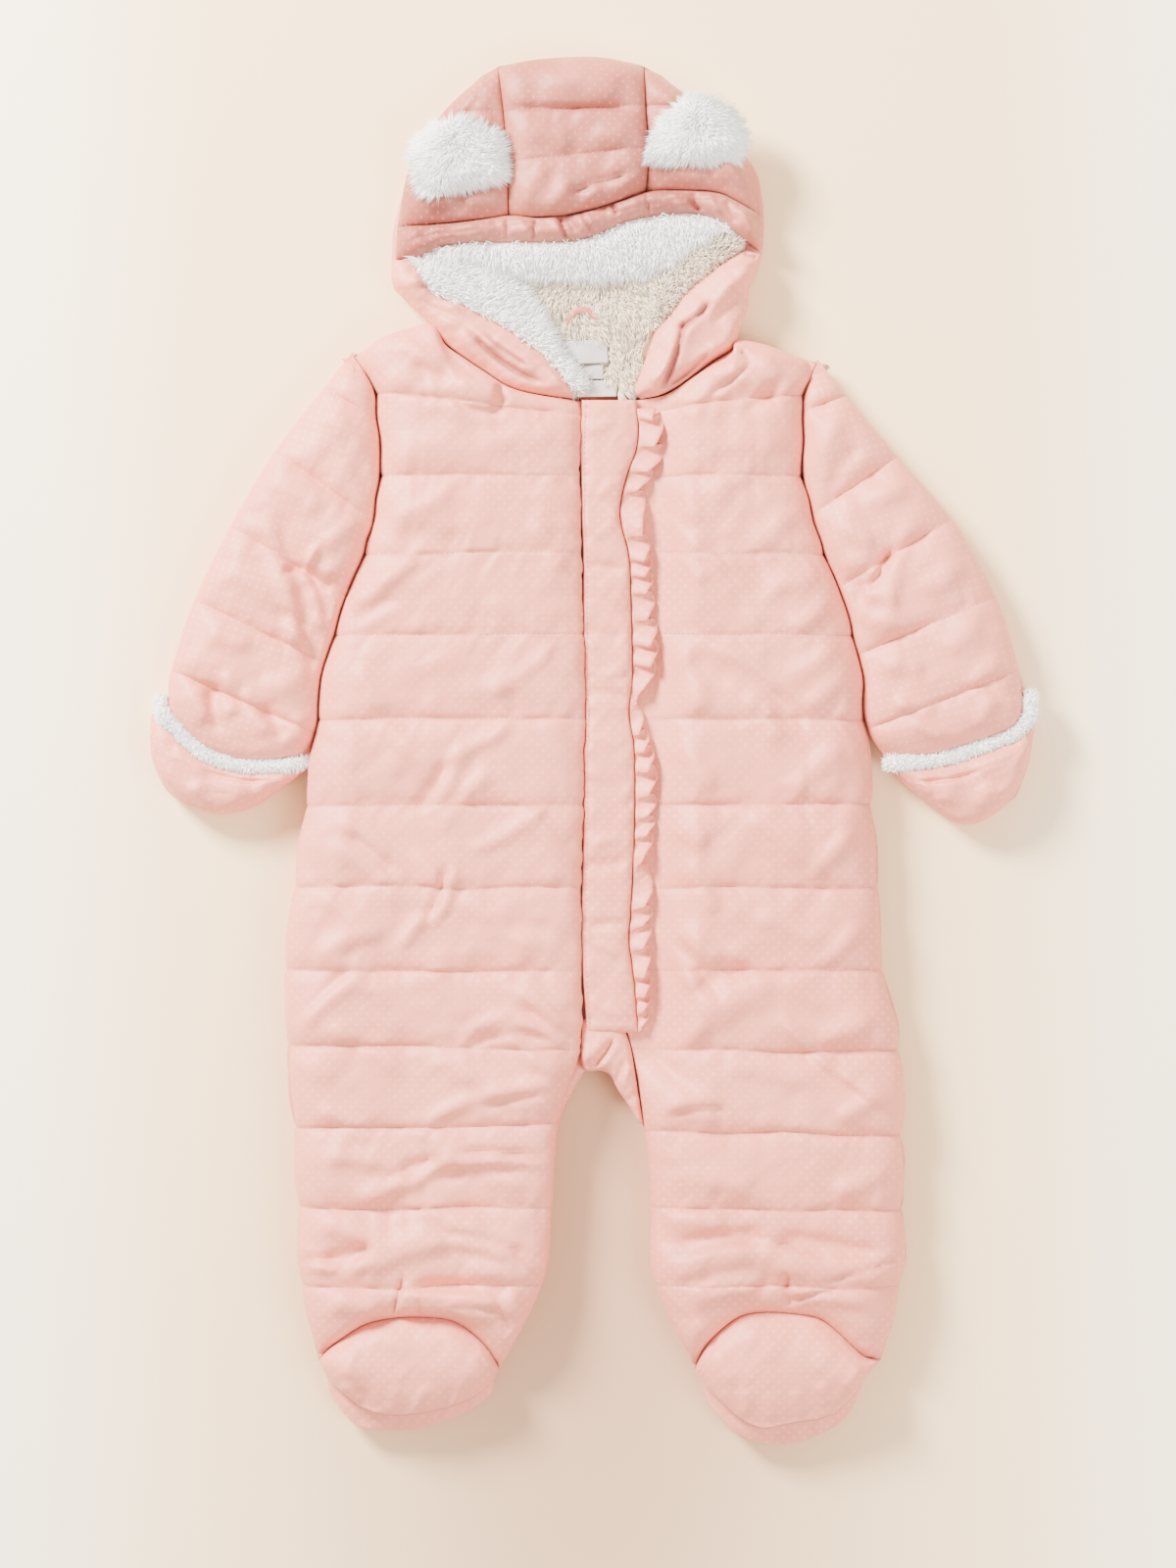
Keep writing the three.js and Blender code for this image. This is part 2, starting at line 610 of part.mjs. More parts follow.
// The gathered frill: a strip from the placket's edge, its free edge rising and falling in waves
function placketFrill() {
  const root = curveOf(placketRows.map(([, right, y]) => [right + 0.5, Math.min(y, frillReach[0][0])]));
  const reach = curveOf(frillReach.map(([y, x]) => [x, y]));
  const samples = frillWaves * 6;
  const vertices = [];
  const triangles = [];
  const across = [0, 0.5, 1];
  for (let k = 0; k <= samples; k += 1) {
    const s = k / samples;
    const wander = s + 0.006 * Math.sin(2 * Math.PI * 3.3 * s);
    const wave = (1 - Math.cos(2 * Math.PI * frillWaves * wander)) / 2;
    const from = root.getPointAt(s);
    const to = reach.getPointAt(s);
    const uneven = 0.8 + 0.2 * Math.sin(2 * Math.PI * 5.7 * s);
    const station = across.map((t) => {
      const p = from.clone().lerp(to, t);
      const low = placketFloor + 0.4 + 1.4 * (1 - t);
      return raised(p, low + frillSwing * uneven * wave * (0.25 + 0.75 * t));
    });
    station.forEach((p) => vertices.push(p));
    station.slice().reverse().forEach((p) => vertices.push(raised(p, p.z + frillWall)));
  }
  const ring = across.length * 2;
  for (let k = 0; k < samples; k += 1) joinRings(triangles, k * ring, (k + 1) * ring, ring);
  [0, samples * ring].forEach((start) => {
    triangles.push([start, start + 1, start + 4], [start, start + 4, start + 5]);
    triangles.push([start + 1, start + 2, start + 3], [start + 1, start + 3, start + 4]);
  });
  return geometryOf(vertices, matchWinding(triangles));
}
addPiece('placket', trimmed(placket(), frontRightRoom), paint.shell);
const placketOutline = outlineOf([
  ...placketRows.map(([, right, y]) => [right, y]),
  ...placketRows.map(([left, , y]) => [left - 20, y]).reverse(),
]);
addPiece('placket_frill', trimmed(placketFrill(), prism(placketOutline, seam, 0, 60)), paint.shell);

function gusset() {
  const outline = outlineOf(gussetOutline);
  const placketEnd = prism(outlineOf([[-20, -120], [40, -120], [40, -158], [-20, -158]]), 0, placketFloor - 1, 60);
  const body = slab(outline, [[0, frontFloor], [0, 20], [2.5, 23.5], [5, 24.5]]);
  return trimmed(body, frontRightRoom, frontLeftRoom, placketEnd);
}
addPiece('gusset', gusset(), paint.shell);

// Sleeve: a tube pressed flat, open at the armhole and at the cuff
function sleeve(rows, trimLine, hollow) {
  const cuff = offsetLine(trimLine, -trimWidth / 2 - seam / 2);
  const railed = [...rows, [...cuff[0], ...cuff.at(-1)]];
  const plan = planOf(railed, { hem: cuff, columns: 8, steps: stepsPerChannel, reach: 1 });
  const heights = quilted(plan, {
    crown: sleeveCrown,
    outerEdge: 14,
    innerEdge: 16,
    headEdge: 14,
    hemEdge: 17,
    rollWidth: 24,
    steps: stepsPerChannel,
  });
  const shell = panel(plan, heights, wallToFloor);
  const slit = prism(outlineOf(hollow), 0, backTop, frontFloor);
  return trimmed(shell, slit, ...bodyRooms);
}

// A line moved sideways, to the right of its run where the distance is positive
function offsetLine(points, distance) {
  const curve = curveOf(points);
  const away = Math.sign(points.at(-1)[0] - points[0][0]);
  return points.map((_, i) => {
    const u = i / (points.length - 1);
    const p = curve.getPointAt(u);
    const along = curve.getTangentAt(u);
    return [p.x + along.y * away * distance, p.y - along.x * away * distance];
  });
}

const sleeveRightHollow = [[-90, 200], [-90, 95], [-134, 86], [-152, 60], [-158, 30], [-166, -30], [-250, -10],
  [-222, 56], [-205, 95], [-180, 140], [-150, 182]];
const sleeveLeftHollow = [[90, 200], [90, 100], [136, 92], [153, 60], [162, 25], [172, -35], [256, -10],
  [224, 60], [202, 100], [172, 145], [142, 180]];
const sleeveRight = sleeve(sleeveRightRows, trimRightLine, sleeveRightHollow);
const sleeveLeft = sleeve(sleeveLeftRows, trimLeftLine, sleeveLeftHollow);

// Plush trim around the mitten's mouth: a short flat tube
function cuffTrim(side, line, hollow) {
  const half = trimWidth / 2;
  const plan = planBetween(offsetLine(line, -half), offsetLine(line, half), 10, 4);
  const heights = (p, i, j) => {
    const across = Math.sin((Math.PI * j) / 4);
    const ends = roll(Math.min(p.distanceTo(plan[j][0]), p.distanceTo(plan[j][10])), 16);
    return 12.5 + (9 + 4 * across) * ends;
  };
  const band = panel(plan, heights, [[0.1, 8], [0.6, 3], [1.4, 0]]);
  const slit = prism(outlineOf(hollow), 0, backTop, frontFloor);
  addPiece(`cuff_trim_${side}`, trimmed(band, slit), paint.trim);
  return roomOf(plan);
}
const trimRightRoom = cuffTrim('right', trimRightLine, [[-228, 40], [-170, 30], [-170, -40], [-228, -40]]);
const trimLeftRoom = cuffTrim('left', trimLeftLine, [[176, 40], [232, 40], [232, -40], [176, -40]]);
addPiece('sleeve_right', trimmed(sleeveRight, trimRightRoom), paint.shell);
addPiece('sleeve_left', trimmed(sleeveLeft, trimLeftRoom), paint.shell);

// Mitten: front and back, the hand's pocket lies between them
function mitten(side, line, { outer, inner, hem }, trimRoom) {
  const mouth = [outer[0], ...offsetLine(line, trimWidth / 2 + seam / 2).slice(2)];
  const rows = outer.map(([x, y], i) => {
    const [ix, iy] = curveOf(inner).getPoint(i / (outer.length - 1)).toArray();
    return [x, y, ix, iy];
  });
  rows[0] = [...mouth[0], ...mouth.at(-1)];
  const build = () => planOf(rows, { head: mouth, hem, columns: 8, steps: 3, reach: 2.5 });
  const plan = build();
  const heights = quilted(plan, {
    crown: 27,
    outerEdge: 13,
    innerEdge: 13,
    headEdge: 20,
    hemEdge: 13,
    rollWidth: 18,
    steps: 3,
  });
  const smooth = (p, i, j) => heights(p, i, j) + quiltDepth * (1 - puff(j, 3)) * 0.8
    * (j > 0 && j < plan.length - 1 && i > 0 && i < plan[0].length - 1 ? 0.6 : 0);
  addPiece(`mitten_${side}_front`, trimmed(panel(plan, smooth, wallDown), trimRoom), paint.shell);
  const back = slabOfPlan(build(), [[4, 0], [1.4, 3], [0.2, 8], [0, backTop]]);
  addPiece(`mitten_${side}_back`, trimmed(back, trimRoom), paint.shell);
}
mitten('right', trimRightLine, mittenRightRim, trimRightRoom);
mitten('left', trimLeftLine, mittenLeftRim, trimLeftRoom);

// Feet: a toe cap on top, and the sole standing at its end
function foot(side, arc, soleSeam, end, frontRoom, backRoom) {
  const capPlan = planBetween(arc, soleSeam, 10, 5);
  const capHeights = (p, i, j) => {
    const sideRoll = roll(Math.min(p.distanceTo(capPlan[j][0]), p.distanceTo(capPlan[j][10])), 20);
    const length = j / 5;
    return 13.5 + (6 + 13 * Math.sin(Math.PI * (0.12 + 0.8 * length))) * sideRoll;
  };
  addPiece(`toe_cap_${side}`, trimmed(panel(capPlan, capHeights, wallDown), frontRoom), paint.shell);
  const inner = capPlan[5].map((p) => [p.x, p.y - seam]);
  const solePlan = planBetween(inner, end, 10, 2);
  const soleHeights = (p, i, j) => 11 + 8 * Math.sin(Math.PI * (i / 10)) * (1 - j / 3);
  const sole = panel(solePlan, soleHeights, [[0.1, 7], [0.4, 3], [0.8, 0]]);
  addPiece(`sole_${side}`, trimmed(sole, backRoom, roomOf(capPlan)), paint.shell);
}
foot('right', toeArcRight, soleSeamRight, footRight, frontRightRoom, backRightRoom);
foot('left', toeArcLeft, soleSeamLeft, footLeft, frontLeftRoom, backLeftRoom);

// Hood
const hoodRing = outlineOf(hoodOutline);
const hoodBack = slab(hoodRing, [[4, 0], [1.4, 2.5], [0, hoodBackTop]]);
addPiece('hood_back', trimmed(hoodBack, ...bodyRooms, backLeft), paint.shell);
const liningLevels = (grow, top) => [[10 - grow, hoodFloor - (grow > 0 ? 1 : 0)], [10 - grow, 12], [12 - grow, top]];
const hoodLining = slab(hoodRing, liningLevels(0, hoodLiningTop));
const liningRoom = slab(hoodRing, liningLevels(seam, hoodLiningTop + seam));
addPiece('hood_lining', trimmed(hoodLining, ...bodyRooms), paint.plush);

function hoodPanel(name, plan, options) {
  const heights = quilted(plan, { headEdge: 12, rollWidth: 20, steps: 4, ...options });
  const geometry = trimmed(panel(plan, heights, [[0, hoodFloor]]), liningRoom, bandTopRoom);
  addPiece(name, geometry, paint.shell);
  return geometry;
}

function railRows(outer, inner, count) {
  const left = curveOf(outer);
  const right = curveOf(inner);
  return Array.from({ length: count + 1 }, (_, k) => {
    const a = left.getPointAt(k / count);
    const b = right.getPointAt(k / count);
    return [a.x, a.y, b.x, b.y];
  });
}

function hoodStrip(name, first, second, { ridge, edge, ends, columns }, material, cutters = []) {
  const plan = planBetween(first, second, columns, 3);
  const heights = (p, i, j) => {
    const near = Math.min(p.distanceTo(plan[j][0]), p.distanceTo(plan[j][columns]));
    const across = Math.sin((Math.PI * j) / 3);
    return ends + (edge - ends + (ridge - edge) * across) * roll(near, 16);
  };
  const strip = panel(plan, heights, [[0, hoodFloor]]);
  addPiece(name, trimmed(strip, liningRoom, ...bodyRooms, ...cutters), material);
  return roomOf(plan);
}
const bandTopRoom = hoodStrip(
  'hood_band_top', bandSeam, faceEdge, { ridge: 29, edge: 23, ends: 12, columns: 16 }, paint.shell,
);
const furTopRoom = hoodStrip(
  'hood_fur_top', faceEdge.slice(1, -1), furTopEdge, { ridge: 23, edge: 20, ends: 17, columns: 14 }, paint.trim,
  [bandTopRoom],
);

const centrePlan = planOf(railRows(hoodSeamRight, hoodSeamLeft, 3), {
  head: hoodTopCentre, hem: bandSeam.slice(3, 8), columns: 8,
});
hoodPanel('hood_centre', centrePlan, { crown: crownHeight, outerEdge: 25, innerEdge: 25, hemEdge: 24 });
const rightPlan = planOf(railRows(hoodTopRight, hoodSeamRight, 3), { hem: bandSeam.slice(0, 4), columns: 7 });
const crownRight = hoodPanel('hood_side_right', rightPlan, { crown: 30, outerEdge: 9, innerEdge: 25, hemEdge: 22 });
const leftPlan = planOf(railRows(hoodTopLeft, hoodSeamLeft, 3), { hem: bandSeam.slice(7).reverse(), columns: 7 });
const crownLeft = hoodPanel('hood_side_left', leftPlan, { crown: 30, outerEdge: 9, innerEdge: 25, hemEdge: 22 });

// The hood's two front sides, from the outline to the face opening, down to the neck seam
const bandRightOuter = [[-111, 273], [-112, 262], [-108, 255], [-99, 247], [-92, 240], [-75, 224], [-50, 207], [-10, 197]];
const bandRightInner = [[-100, 272], ...furRightOuter.slice(1)];
const bandRightRoom = hoodStrip(
  'hood_band_right', bandRightOuter, bandRightInner, { ridge: 27, edge: 20, ends: 15, columns: 12 }, paint.shell,
  [bandTopRoom, furTopRoom],
);
const furRightRoom = hoodStrip(
  'hood_fur_right', furRightOuter, furRightInner, { ridge: 24, edge: 20, ends: 17, columns: 10 }, paint.trim,
  [bandRightRoom, bandTopRoom, furTopRoom],
);
const bandLeftRoom = hoodStrip(
  'hood_band_left', bandLeftOuter, bandLeftInner, { ridge: 29, edge: 21, ends: 15, columns: 12 }, paint.shell,
  [bandTopRoom, furTopRoom],
);
const sideLining = slab(outlineOf(liningSideOutline), [[0, hoodLiningTop + seam], [0, 18], [2, 21], [4, 22]]);
addPiece('hood_lining_side', trimmed(sideLining, bandLeftRoom, bandTopRoom, furTopRoom), paint.plush);

// Ears: pads sewn in the seams of the crown, lying on its sides
function ear(side, outlinePoints, crown) {
  const outline = outlineOf(outlinePoints);
  const body = slab(outline, [[1, hoodLiningTop + 4], [0, 28], [1.5, 33], [5, 36.5], [10, 38]]);
  addPiece(`ear_${side}`, trimmed(body, crown.clone().translate(0, 0, seam)), paint.trim);
}
ear('right', earRightOutline, crownRight);
ear('left', earLeftOutline, crownLeft);

// Hanging loop and bare labels, lying on the lining
const labelFloor = hoodLiningTop + seam;
const flat = (points, thick) => slab(outlineOf(points), [[0, labelFloor], [0, labelFloor + thick]]);
const loop = [[-14, 230], [-14, 243], [-11, 247], [-1, 247], [2, 243], [2, 230], [-1.5, 230], [-1.5, 242],
  [-3, 243.5], [-9, 243.5], [-10.5, 242], [-10.5, 230]];
addPiece('hanging_loop', flat(loop, 2.2), paint.shell);
addPiece('neck_label', trimmed(flat([[-19, 214.5], [9, 216], [8, 229], [-21, 227.5]], labelThick), furRightRoom), paint.label);
addPiece('size_tab', flat([[-6, 207], [6, 207.5], [5.5, 214.8], [-6.5, 214.2]], labelThick), paint.label);
addPiece('care_label', trimmed(flat([[-9, 190], [14, 190], [13, 206.5], [-8, 206]], labelThick), ...bodyRooms, furRightRoom), paint.label);

export default garment;
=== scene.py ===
# Baby snowsuit laid out on its back: the looks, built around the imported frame.
# Tables are in millimetres in the frame's axes, and meshes are made in metres.
import bpy
import math
import numpy as np
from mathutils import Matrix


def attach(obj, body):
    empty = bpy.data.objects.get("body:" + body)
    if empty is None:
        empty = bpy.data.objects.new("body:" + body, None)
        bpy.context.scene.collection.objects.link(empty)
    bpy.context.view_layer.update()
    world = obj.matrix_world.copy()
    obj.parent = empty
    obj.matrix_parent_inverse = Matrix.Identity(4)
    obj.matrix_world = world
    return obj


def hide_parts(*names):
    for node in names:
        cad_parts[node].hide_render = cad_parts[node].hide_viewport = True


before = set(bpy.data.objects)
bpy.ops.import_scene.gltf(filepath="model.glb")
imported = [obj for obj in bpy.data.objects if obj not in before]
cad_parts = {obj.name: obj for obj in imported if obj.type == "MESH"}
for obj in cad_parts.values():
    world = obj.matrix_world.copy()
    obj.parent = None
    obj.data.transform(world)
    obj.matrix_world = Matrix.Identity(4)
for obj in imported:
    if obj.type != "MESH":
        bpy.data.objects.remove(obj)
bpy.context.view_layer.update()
millimetre = 0.001
seamGap = 0.3
backTop = 11.85       # top of the back layer
frontFloor = 12.15    # underside of the front layer
print("frame loaded")


# An even Catmull-Rom curve: each stretch is a cubic whose end slopes are half the step between neighbours
def curvePoint(points, t):
    points = np.asarray(points, float)
    last = len(points) - 1
    place = np.clip(np.asarray(t, float), 0, 1) * last
    k = np.minimum(place.astype(int), last - 1)
    w = (place - k)[..., None]
    p0, p1 = points[np.maximum(k - 1, 0)], points[k]
    p2, p3 = points[k + 1], points[np.minimum(k + 2, last)]
    v0, v1 = (p2 - p0) / 2, (p3 - p1) / 2
    cubic = (2 * p1 - 2 * p2 + v0 + v1) * w ** 3
    return cubic + (3 * p2 - 3 * p1 - 2 * v0 - v1) * w ** 2 + v0 * w + p1


# The same curve by share of its length: t is looked up in the running sum of 600 short chords
def arcPoint(points, u):
    t = np.linspace(0, 1, 601)
    chords = np.linalg.norm(np.diff(curvePoint(points, t), axis=0), axis=1)
    length = np.concatenate([[0], np.cumsum(chords)])
    return curvePoint(points, np.interp(np.asarray(u) * length[-1], length, t))


# Straight distance from points to points: the root of the sum of squares
def distanceTo(a, b):
    return np.linalg.norm(a - b, axis=-1)


# Distance of each grid point from its row's nearer end
def fromColumns(plan):
    return np.minimum(distanceTo(plan, plan[:, :1]), distanceTo(plan, plan[:, -1:]))


# Distance of each grid point from its column's nearer end
def fromRows(plan):
    return np.minimum(distanceTo(plan, plan[:1]), distanceTo(plan, plan[-1:]))


# Length along each row up to each point: the running sum of its steps
def runAlong(plan):
    return np.cumsum(np.pad(distanceTo(plan[:, 1:], plan[:, :-1]), ((0, 0), (1, 0))), axis=1)


# Vectors divided by their lengths
def unit(vectors):
    return vectors / (np.linalg.norm(vectors, axis=-1, keepdims=True) + 1e-9)


# Quarter round: 0 at an edge, 1 from radius inwards
def rollOver(distance, radius):
    return np.sqrt(1 - (1 - np.clip(distance / radius, 0, 1)) ** 2)


# Soft step from 0 to 1: 3x^2 - 2x^3
def softStep(x):
    x = np.clip(x, 0, 1)
    return x * x * (3 - 2 * x)


# Places from 0 to 1, a mix of even ones and of cosine ones that crowd towards both ends
def places(count, crowding=0.5):
    even = np.linspace(0, 1, count + 1)
    return even * (1 - crowding) + (1 - np.cos(np.pi * even)) / 2 * crowding


# Rows for quilting channels, crowded at each stitched line
def channelRows(channels, steps, crowding=0.6):
    one = places(steps, crowding)[:-1]
    return np.append((np.arange(channels)[:, None] + one).ravel(), channels) / channels


# Quads between rings of the same count: each corner, the next one round, and both on the ring after
def ringFaces(rings, count):
    start, around = np.arange(rings - 1)[:, None] * count, np.arange(count)
    after = np.roll(around, -1)
    corners = [start + around, start + after, start + after + count, start + around + count]
    return np.stack(corners, -1).reshape(-1, 4)


# Smooth noise from -1 to 1: hashed values on a lattice, joined by a soft step in x and in y
def softNoise(x, y, size, seed):
    gx, gy = np.asarray(x, float) / size, np.asarray(y, float) / size
    ix, iy = np.floor(gx), np.floor(gy)

    def corner(a, b):
        return np.modf(np.abs(np.sin(a * 127.1 + b * 311.7 + seed * 74.7) * 43758.5453))[0] * 2 - 1

    wx, wy = softStep(gx - ix), softStep(gy - iy)
    low = corner(ix, iy) * (1 - wx) + corner(ix + 1, iy) * wx
    high = corner(ix, iy + 1) * (1 - wx) + corner(ix + 1, iy + 1) * wx
    return low * (1 - wy) + high * wy


# Creases: each row is x1 y1 x2 y2 width height bend. The height falls off as a bell across a bent
# segment and fades at its ends; a negative height is a trough
def creaseHeight(x, y, creases, bell=2):
    total = np.zeros_like(x)
    for x1, y1, x2, y2, width, height, bend in creases:
        run = np.array([x2 - x1, y2 - y1], float)
        length = math.hypot(*run)
        run /= length
        along = ((x - x1) * run[0] + (y - y1) * run[1]) / length
        bow = bend * 4 * along * (1 - along)
        across = (y - y1) * run[0] - (x - x1) * run[1] - bow
        fade = softStep(along / 0.3 + 0.25) * softStep((1 - along) / 0.3 + 0.25)
        near = np.abs(across) / width
        total += height * fade * np.exp(-near ** bell) * (np.abs(along - 0.5) < 0.75)
    return total


# Shade deep in the narrow troughs of a crease table: most * (depth / 3.4 mm)^1.5
def creaseShade(x, y, creases, most=0.4):
    narrow = [crease for crease in creases if crease[5] < -1.5 and crease[4] < 2.8]
    return np.clip(-creaseHeight(x, y, narrow) / 3.4, 0, 1) ** 1.5 * most if narrow else np.zeros_like(x)


# Puts arrays into a mesh object: points in mm, faces as arrays with 3, 4 or more columns
def makePiece(name, points, faces, material, fields=None, smooth=True):
    faces = [np.asarray(f, np.int64) for f in faces if len(f)]
    points = np.asarray(points, float)
    volume = 0.0
    for f in faces:
        a = points[f[:, 0]]
        for k in range(1, f.shape[1] - 1):
            volume += np.einsum("ij,ij->i", a, np.cross(points[f[:, k]], points[f[:, k + 1]])).sum()
    if volume < 0:
        faces = [f[:, ::-1] for f in faces]
    sizes = np.concatenate([np.full(len(f), f.shape[1]) for f in faces])
    corners = np.concatenate([f.ravel() for f in faces])
    starts = np.concatenate([[0], np.cumsum(sizes)[:-1]])
    mesh = bpy.data.meshes.new(name)
    mesh.vertices.add(len(points))
    mesh.vertices.foreach_set("co", (points * millimetre).astype(np.float32).ravel())
    mesh.loops.add(len(corners))
    mesh.loops.foreach_set("vertex_index", corners.astype(np.int32))
    mesh.polygons.add(len(sizes))
    mesh.polygons.foreach_set("loop_start", starts.astype(np.int32))
    mesh.update(calc_edges=True)
    for field, values in (fields or {}).items():
        attribute = mesh.attributes.new(field, "FLOAT", "POINT")
        attribute.data.foreach_set("value", np.asarray(values, np.float32).ravel())
    if smooth:
        mesh.polygons.foreach_set("use_smooth", np.ones(len(sizes), bool))
    mesh.materials.append(material)
    piece = bpy.data.objects.new(name, mesh)
    bpy.context.scene.collection.objects.link(piece)
    triangleCount[name] = int((sizes - 2).sum())
    return piece


triangleCount = {}


# What every piece says: it rides on the root and it stands for its nodes, which are hidden
def settle(piece, slotName, *nodes):
    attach(piece, "root")
    if nodes:
        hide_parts(*nodes)
    return piece


# Corner numbers of the quads of a grid: a, a + 1, a + 1 + columns, a + columns
def gridFaces(rows, columns, start=0):
    a = start + np.arange(rows - 1)[:, None] * columns + np.arange(columns - 1)
    return np.stack([a, a + 1, a + columns + 1, a + columns], -1).reshape(-1, 4)


# Corner numbers of a grid's rim: first row, last column, last row and first column, in one ring
def rimNumbers(rows, columns):
    top = np.arange(columns - 1)
    right = np.arange(rows - 1) * columns + columns - 1
    bottom = (rows - 1) * columns + np.arange(columns - 1, 0, -1)
    left = np.arange(rows - 1, 0, -1) * columns
    return np.concatenate([top, right, bottom, left])


# The plan's edge drawn in: across each row, and along each column, easing to nothing midway
def drawnIn(plan, distance):
    rows, columns = plan.shape[:2]
    rim = rimNumbers(rows, columns)
    j, i = np.divmod(rim, columns)
    across = plan[j, -1] - plan[j, 0]
    width = np.linalg.norm(across, axis=1, keepdims=True) + 1e-9
    share = distanceTo(plan[j, i], plan[j, 0])[:, None] / width
    above, below = plan[np.maximum(j - 1, 0), i], plan[np.minimum(j + 1, rows - 1), i]
    along = below - above
    along /= np.linalg.norm(along, axis=1, keepdims=True) + 1e-9
    d = np.broadcast_to(np.asarray(distance, float), rim.shape)[:, None]
    return plan[j, i] + across / width * d * (1 - 2 * share) + along * d * (1 - 2 * j[:, None] / (rows - 1))


# A closed padded panel: a grid of heights, a wall through rings of inset and height, and a flat
# underside of strips from rail to rail, or lengthwise from the head row to the hem row
def closedPanel(plan, height, levels, lengthwise=False):
    rows, columns = plan.shape[:2]
    top = np.concatenate([plan.reshape(-1, 2), height.reshape(-1, 1)], 1)
    rim = rimNumbers(rows, columns)
    count = len(rim)
    points, faces = [top], [gridFaces(rows, columns)]
    above, size = rim, len(top)
    for inset, z in levels:
        ring = drawnIn(plan, inset)
        points.append(np.column_stack([ring, np.broadcast_to(z, (count,))]))
        below = size + np.arange(count)
        faces.append(np.stack([above, below, np.roll(below, -1), np.roll(above, -1)], -1))
        above, size = below, size + count
    head, right = above[:columns], above[columns:columns + rows - 2]
    hem = above[columns + rows - 2:columns * 2 + rows - 2][::-1]
    left = above[count - (rows - 2):][::-1]
    if lengthwise:
        strips = np.stack([head[1:-2], hem[1:-2], hem[2:-1], head[2:-1]], -1)
        ends = [[head[0], *left, hem[0], hem[1], head[1]],
                [head[-2], hem[-2], hem[-1], *right[::-1], head[-1]]]
    else:
        strips = np.stack([left[:-1], left[1:], right[1:], right[:-1]], -1)
        ends = [[right[0], *head[::-1], left[0]], [left[-1], *hem, right[-1]]]
    faces += [strips, *(np.array([end]) for end in ends)]
    return np.concatenate(points), faces


# Materials

# A material, its shader and two helpers: add makes a node, whose settings are its own or its
# sockets' by name, and join links an output to an input
def startMaterial(name, **sockets):
    material = bpy.data.materials.new(name)
    material.use_nodes = True
    nodes, links = material.node_tree.nodes, material.node_tree.links
    shader = nodes["Principled BSDF"]

    def adjust(node, settings):
        for key, value in settings.items():
            socket = node.inputs.get(key.replace("_", " "))
            if socket is not None:
                socket.default_value = value
            else:
                setattr(node, key, value)
        return node

    def add(kind, **settings):
        return adjust(nodes.new("ShaderNode" + kind), settings)

    def join(source, target, output=0, entry=0):
        links.new(source.outputs[output], target.inputs[entry])
        return target

    adjust(shader, sockets)
    return material, shader, add, join


# Mix of two colours, each a fixed one or a node, by a factor node
def mixColour(add, join, factor, first, second, factorOutput=0):
    mix = add("Mix", data_type="RGBA")
    join(factor, mix, factorOutput, 0)
    for entry, colour in ((6, first), (7, second)):
        if isinstance(colour, tuple):
            mix.inputs[entry].default_value = colour
        else:
            join(colour, mix, 2, entry)
    return mix


# A colour times a share
def darkened(colour, share):
    return tuple(part * share for part in colour[:3]) + (1,)


shellLook = {
    "colour": (0.765, 0.258, 0.178, 1),
    "deepColour": (0.665, 0.188, 0.128, 1),
    # a darker copy of the shell colour for the hood: painted shade
    "hoodShadeColour": (0.315, 0.080, 0.056, 1),
    "printColour": (0.860, 0.400, 0.310, 1),
    # colour of the painted shade along stitched lines and seams and in narrow crease troughs
    "seamColour": (0.300, 0.060, 0.048, 1),
    "sheenColour": (1, 0.90, 0.86, 1),
    "dotPitch": 4.3,         # mm between pin dots, along the diagonal
    "dotRadius": 0.15,       # share of the pitch
    "threadPitch": 0.62,     # mm between threads of the weave
    "weaveDepth": 0.00008,   # metres
    "crinkleDepth": 0.0012,  # metres
    "crinkleScale": 95,
    "cloudScale": 9,
    "wearScale": 38,
    "roughness": 0.50,
    "sheen": 0.12,
}
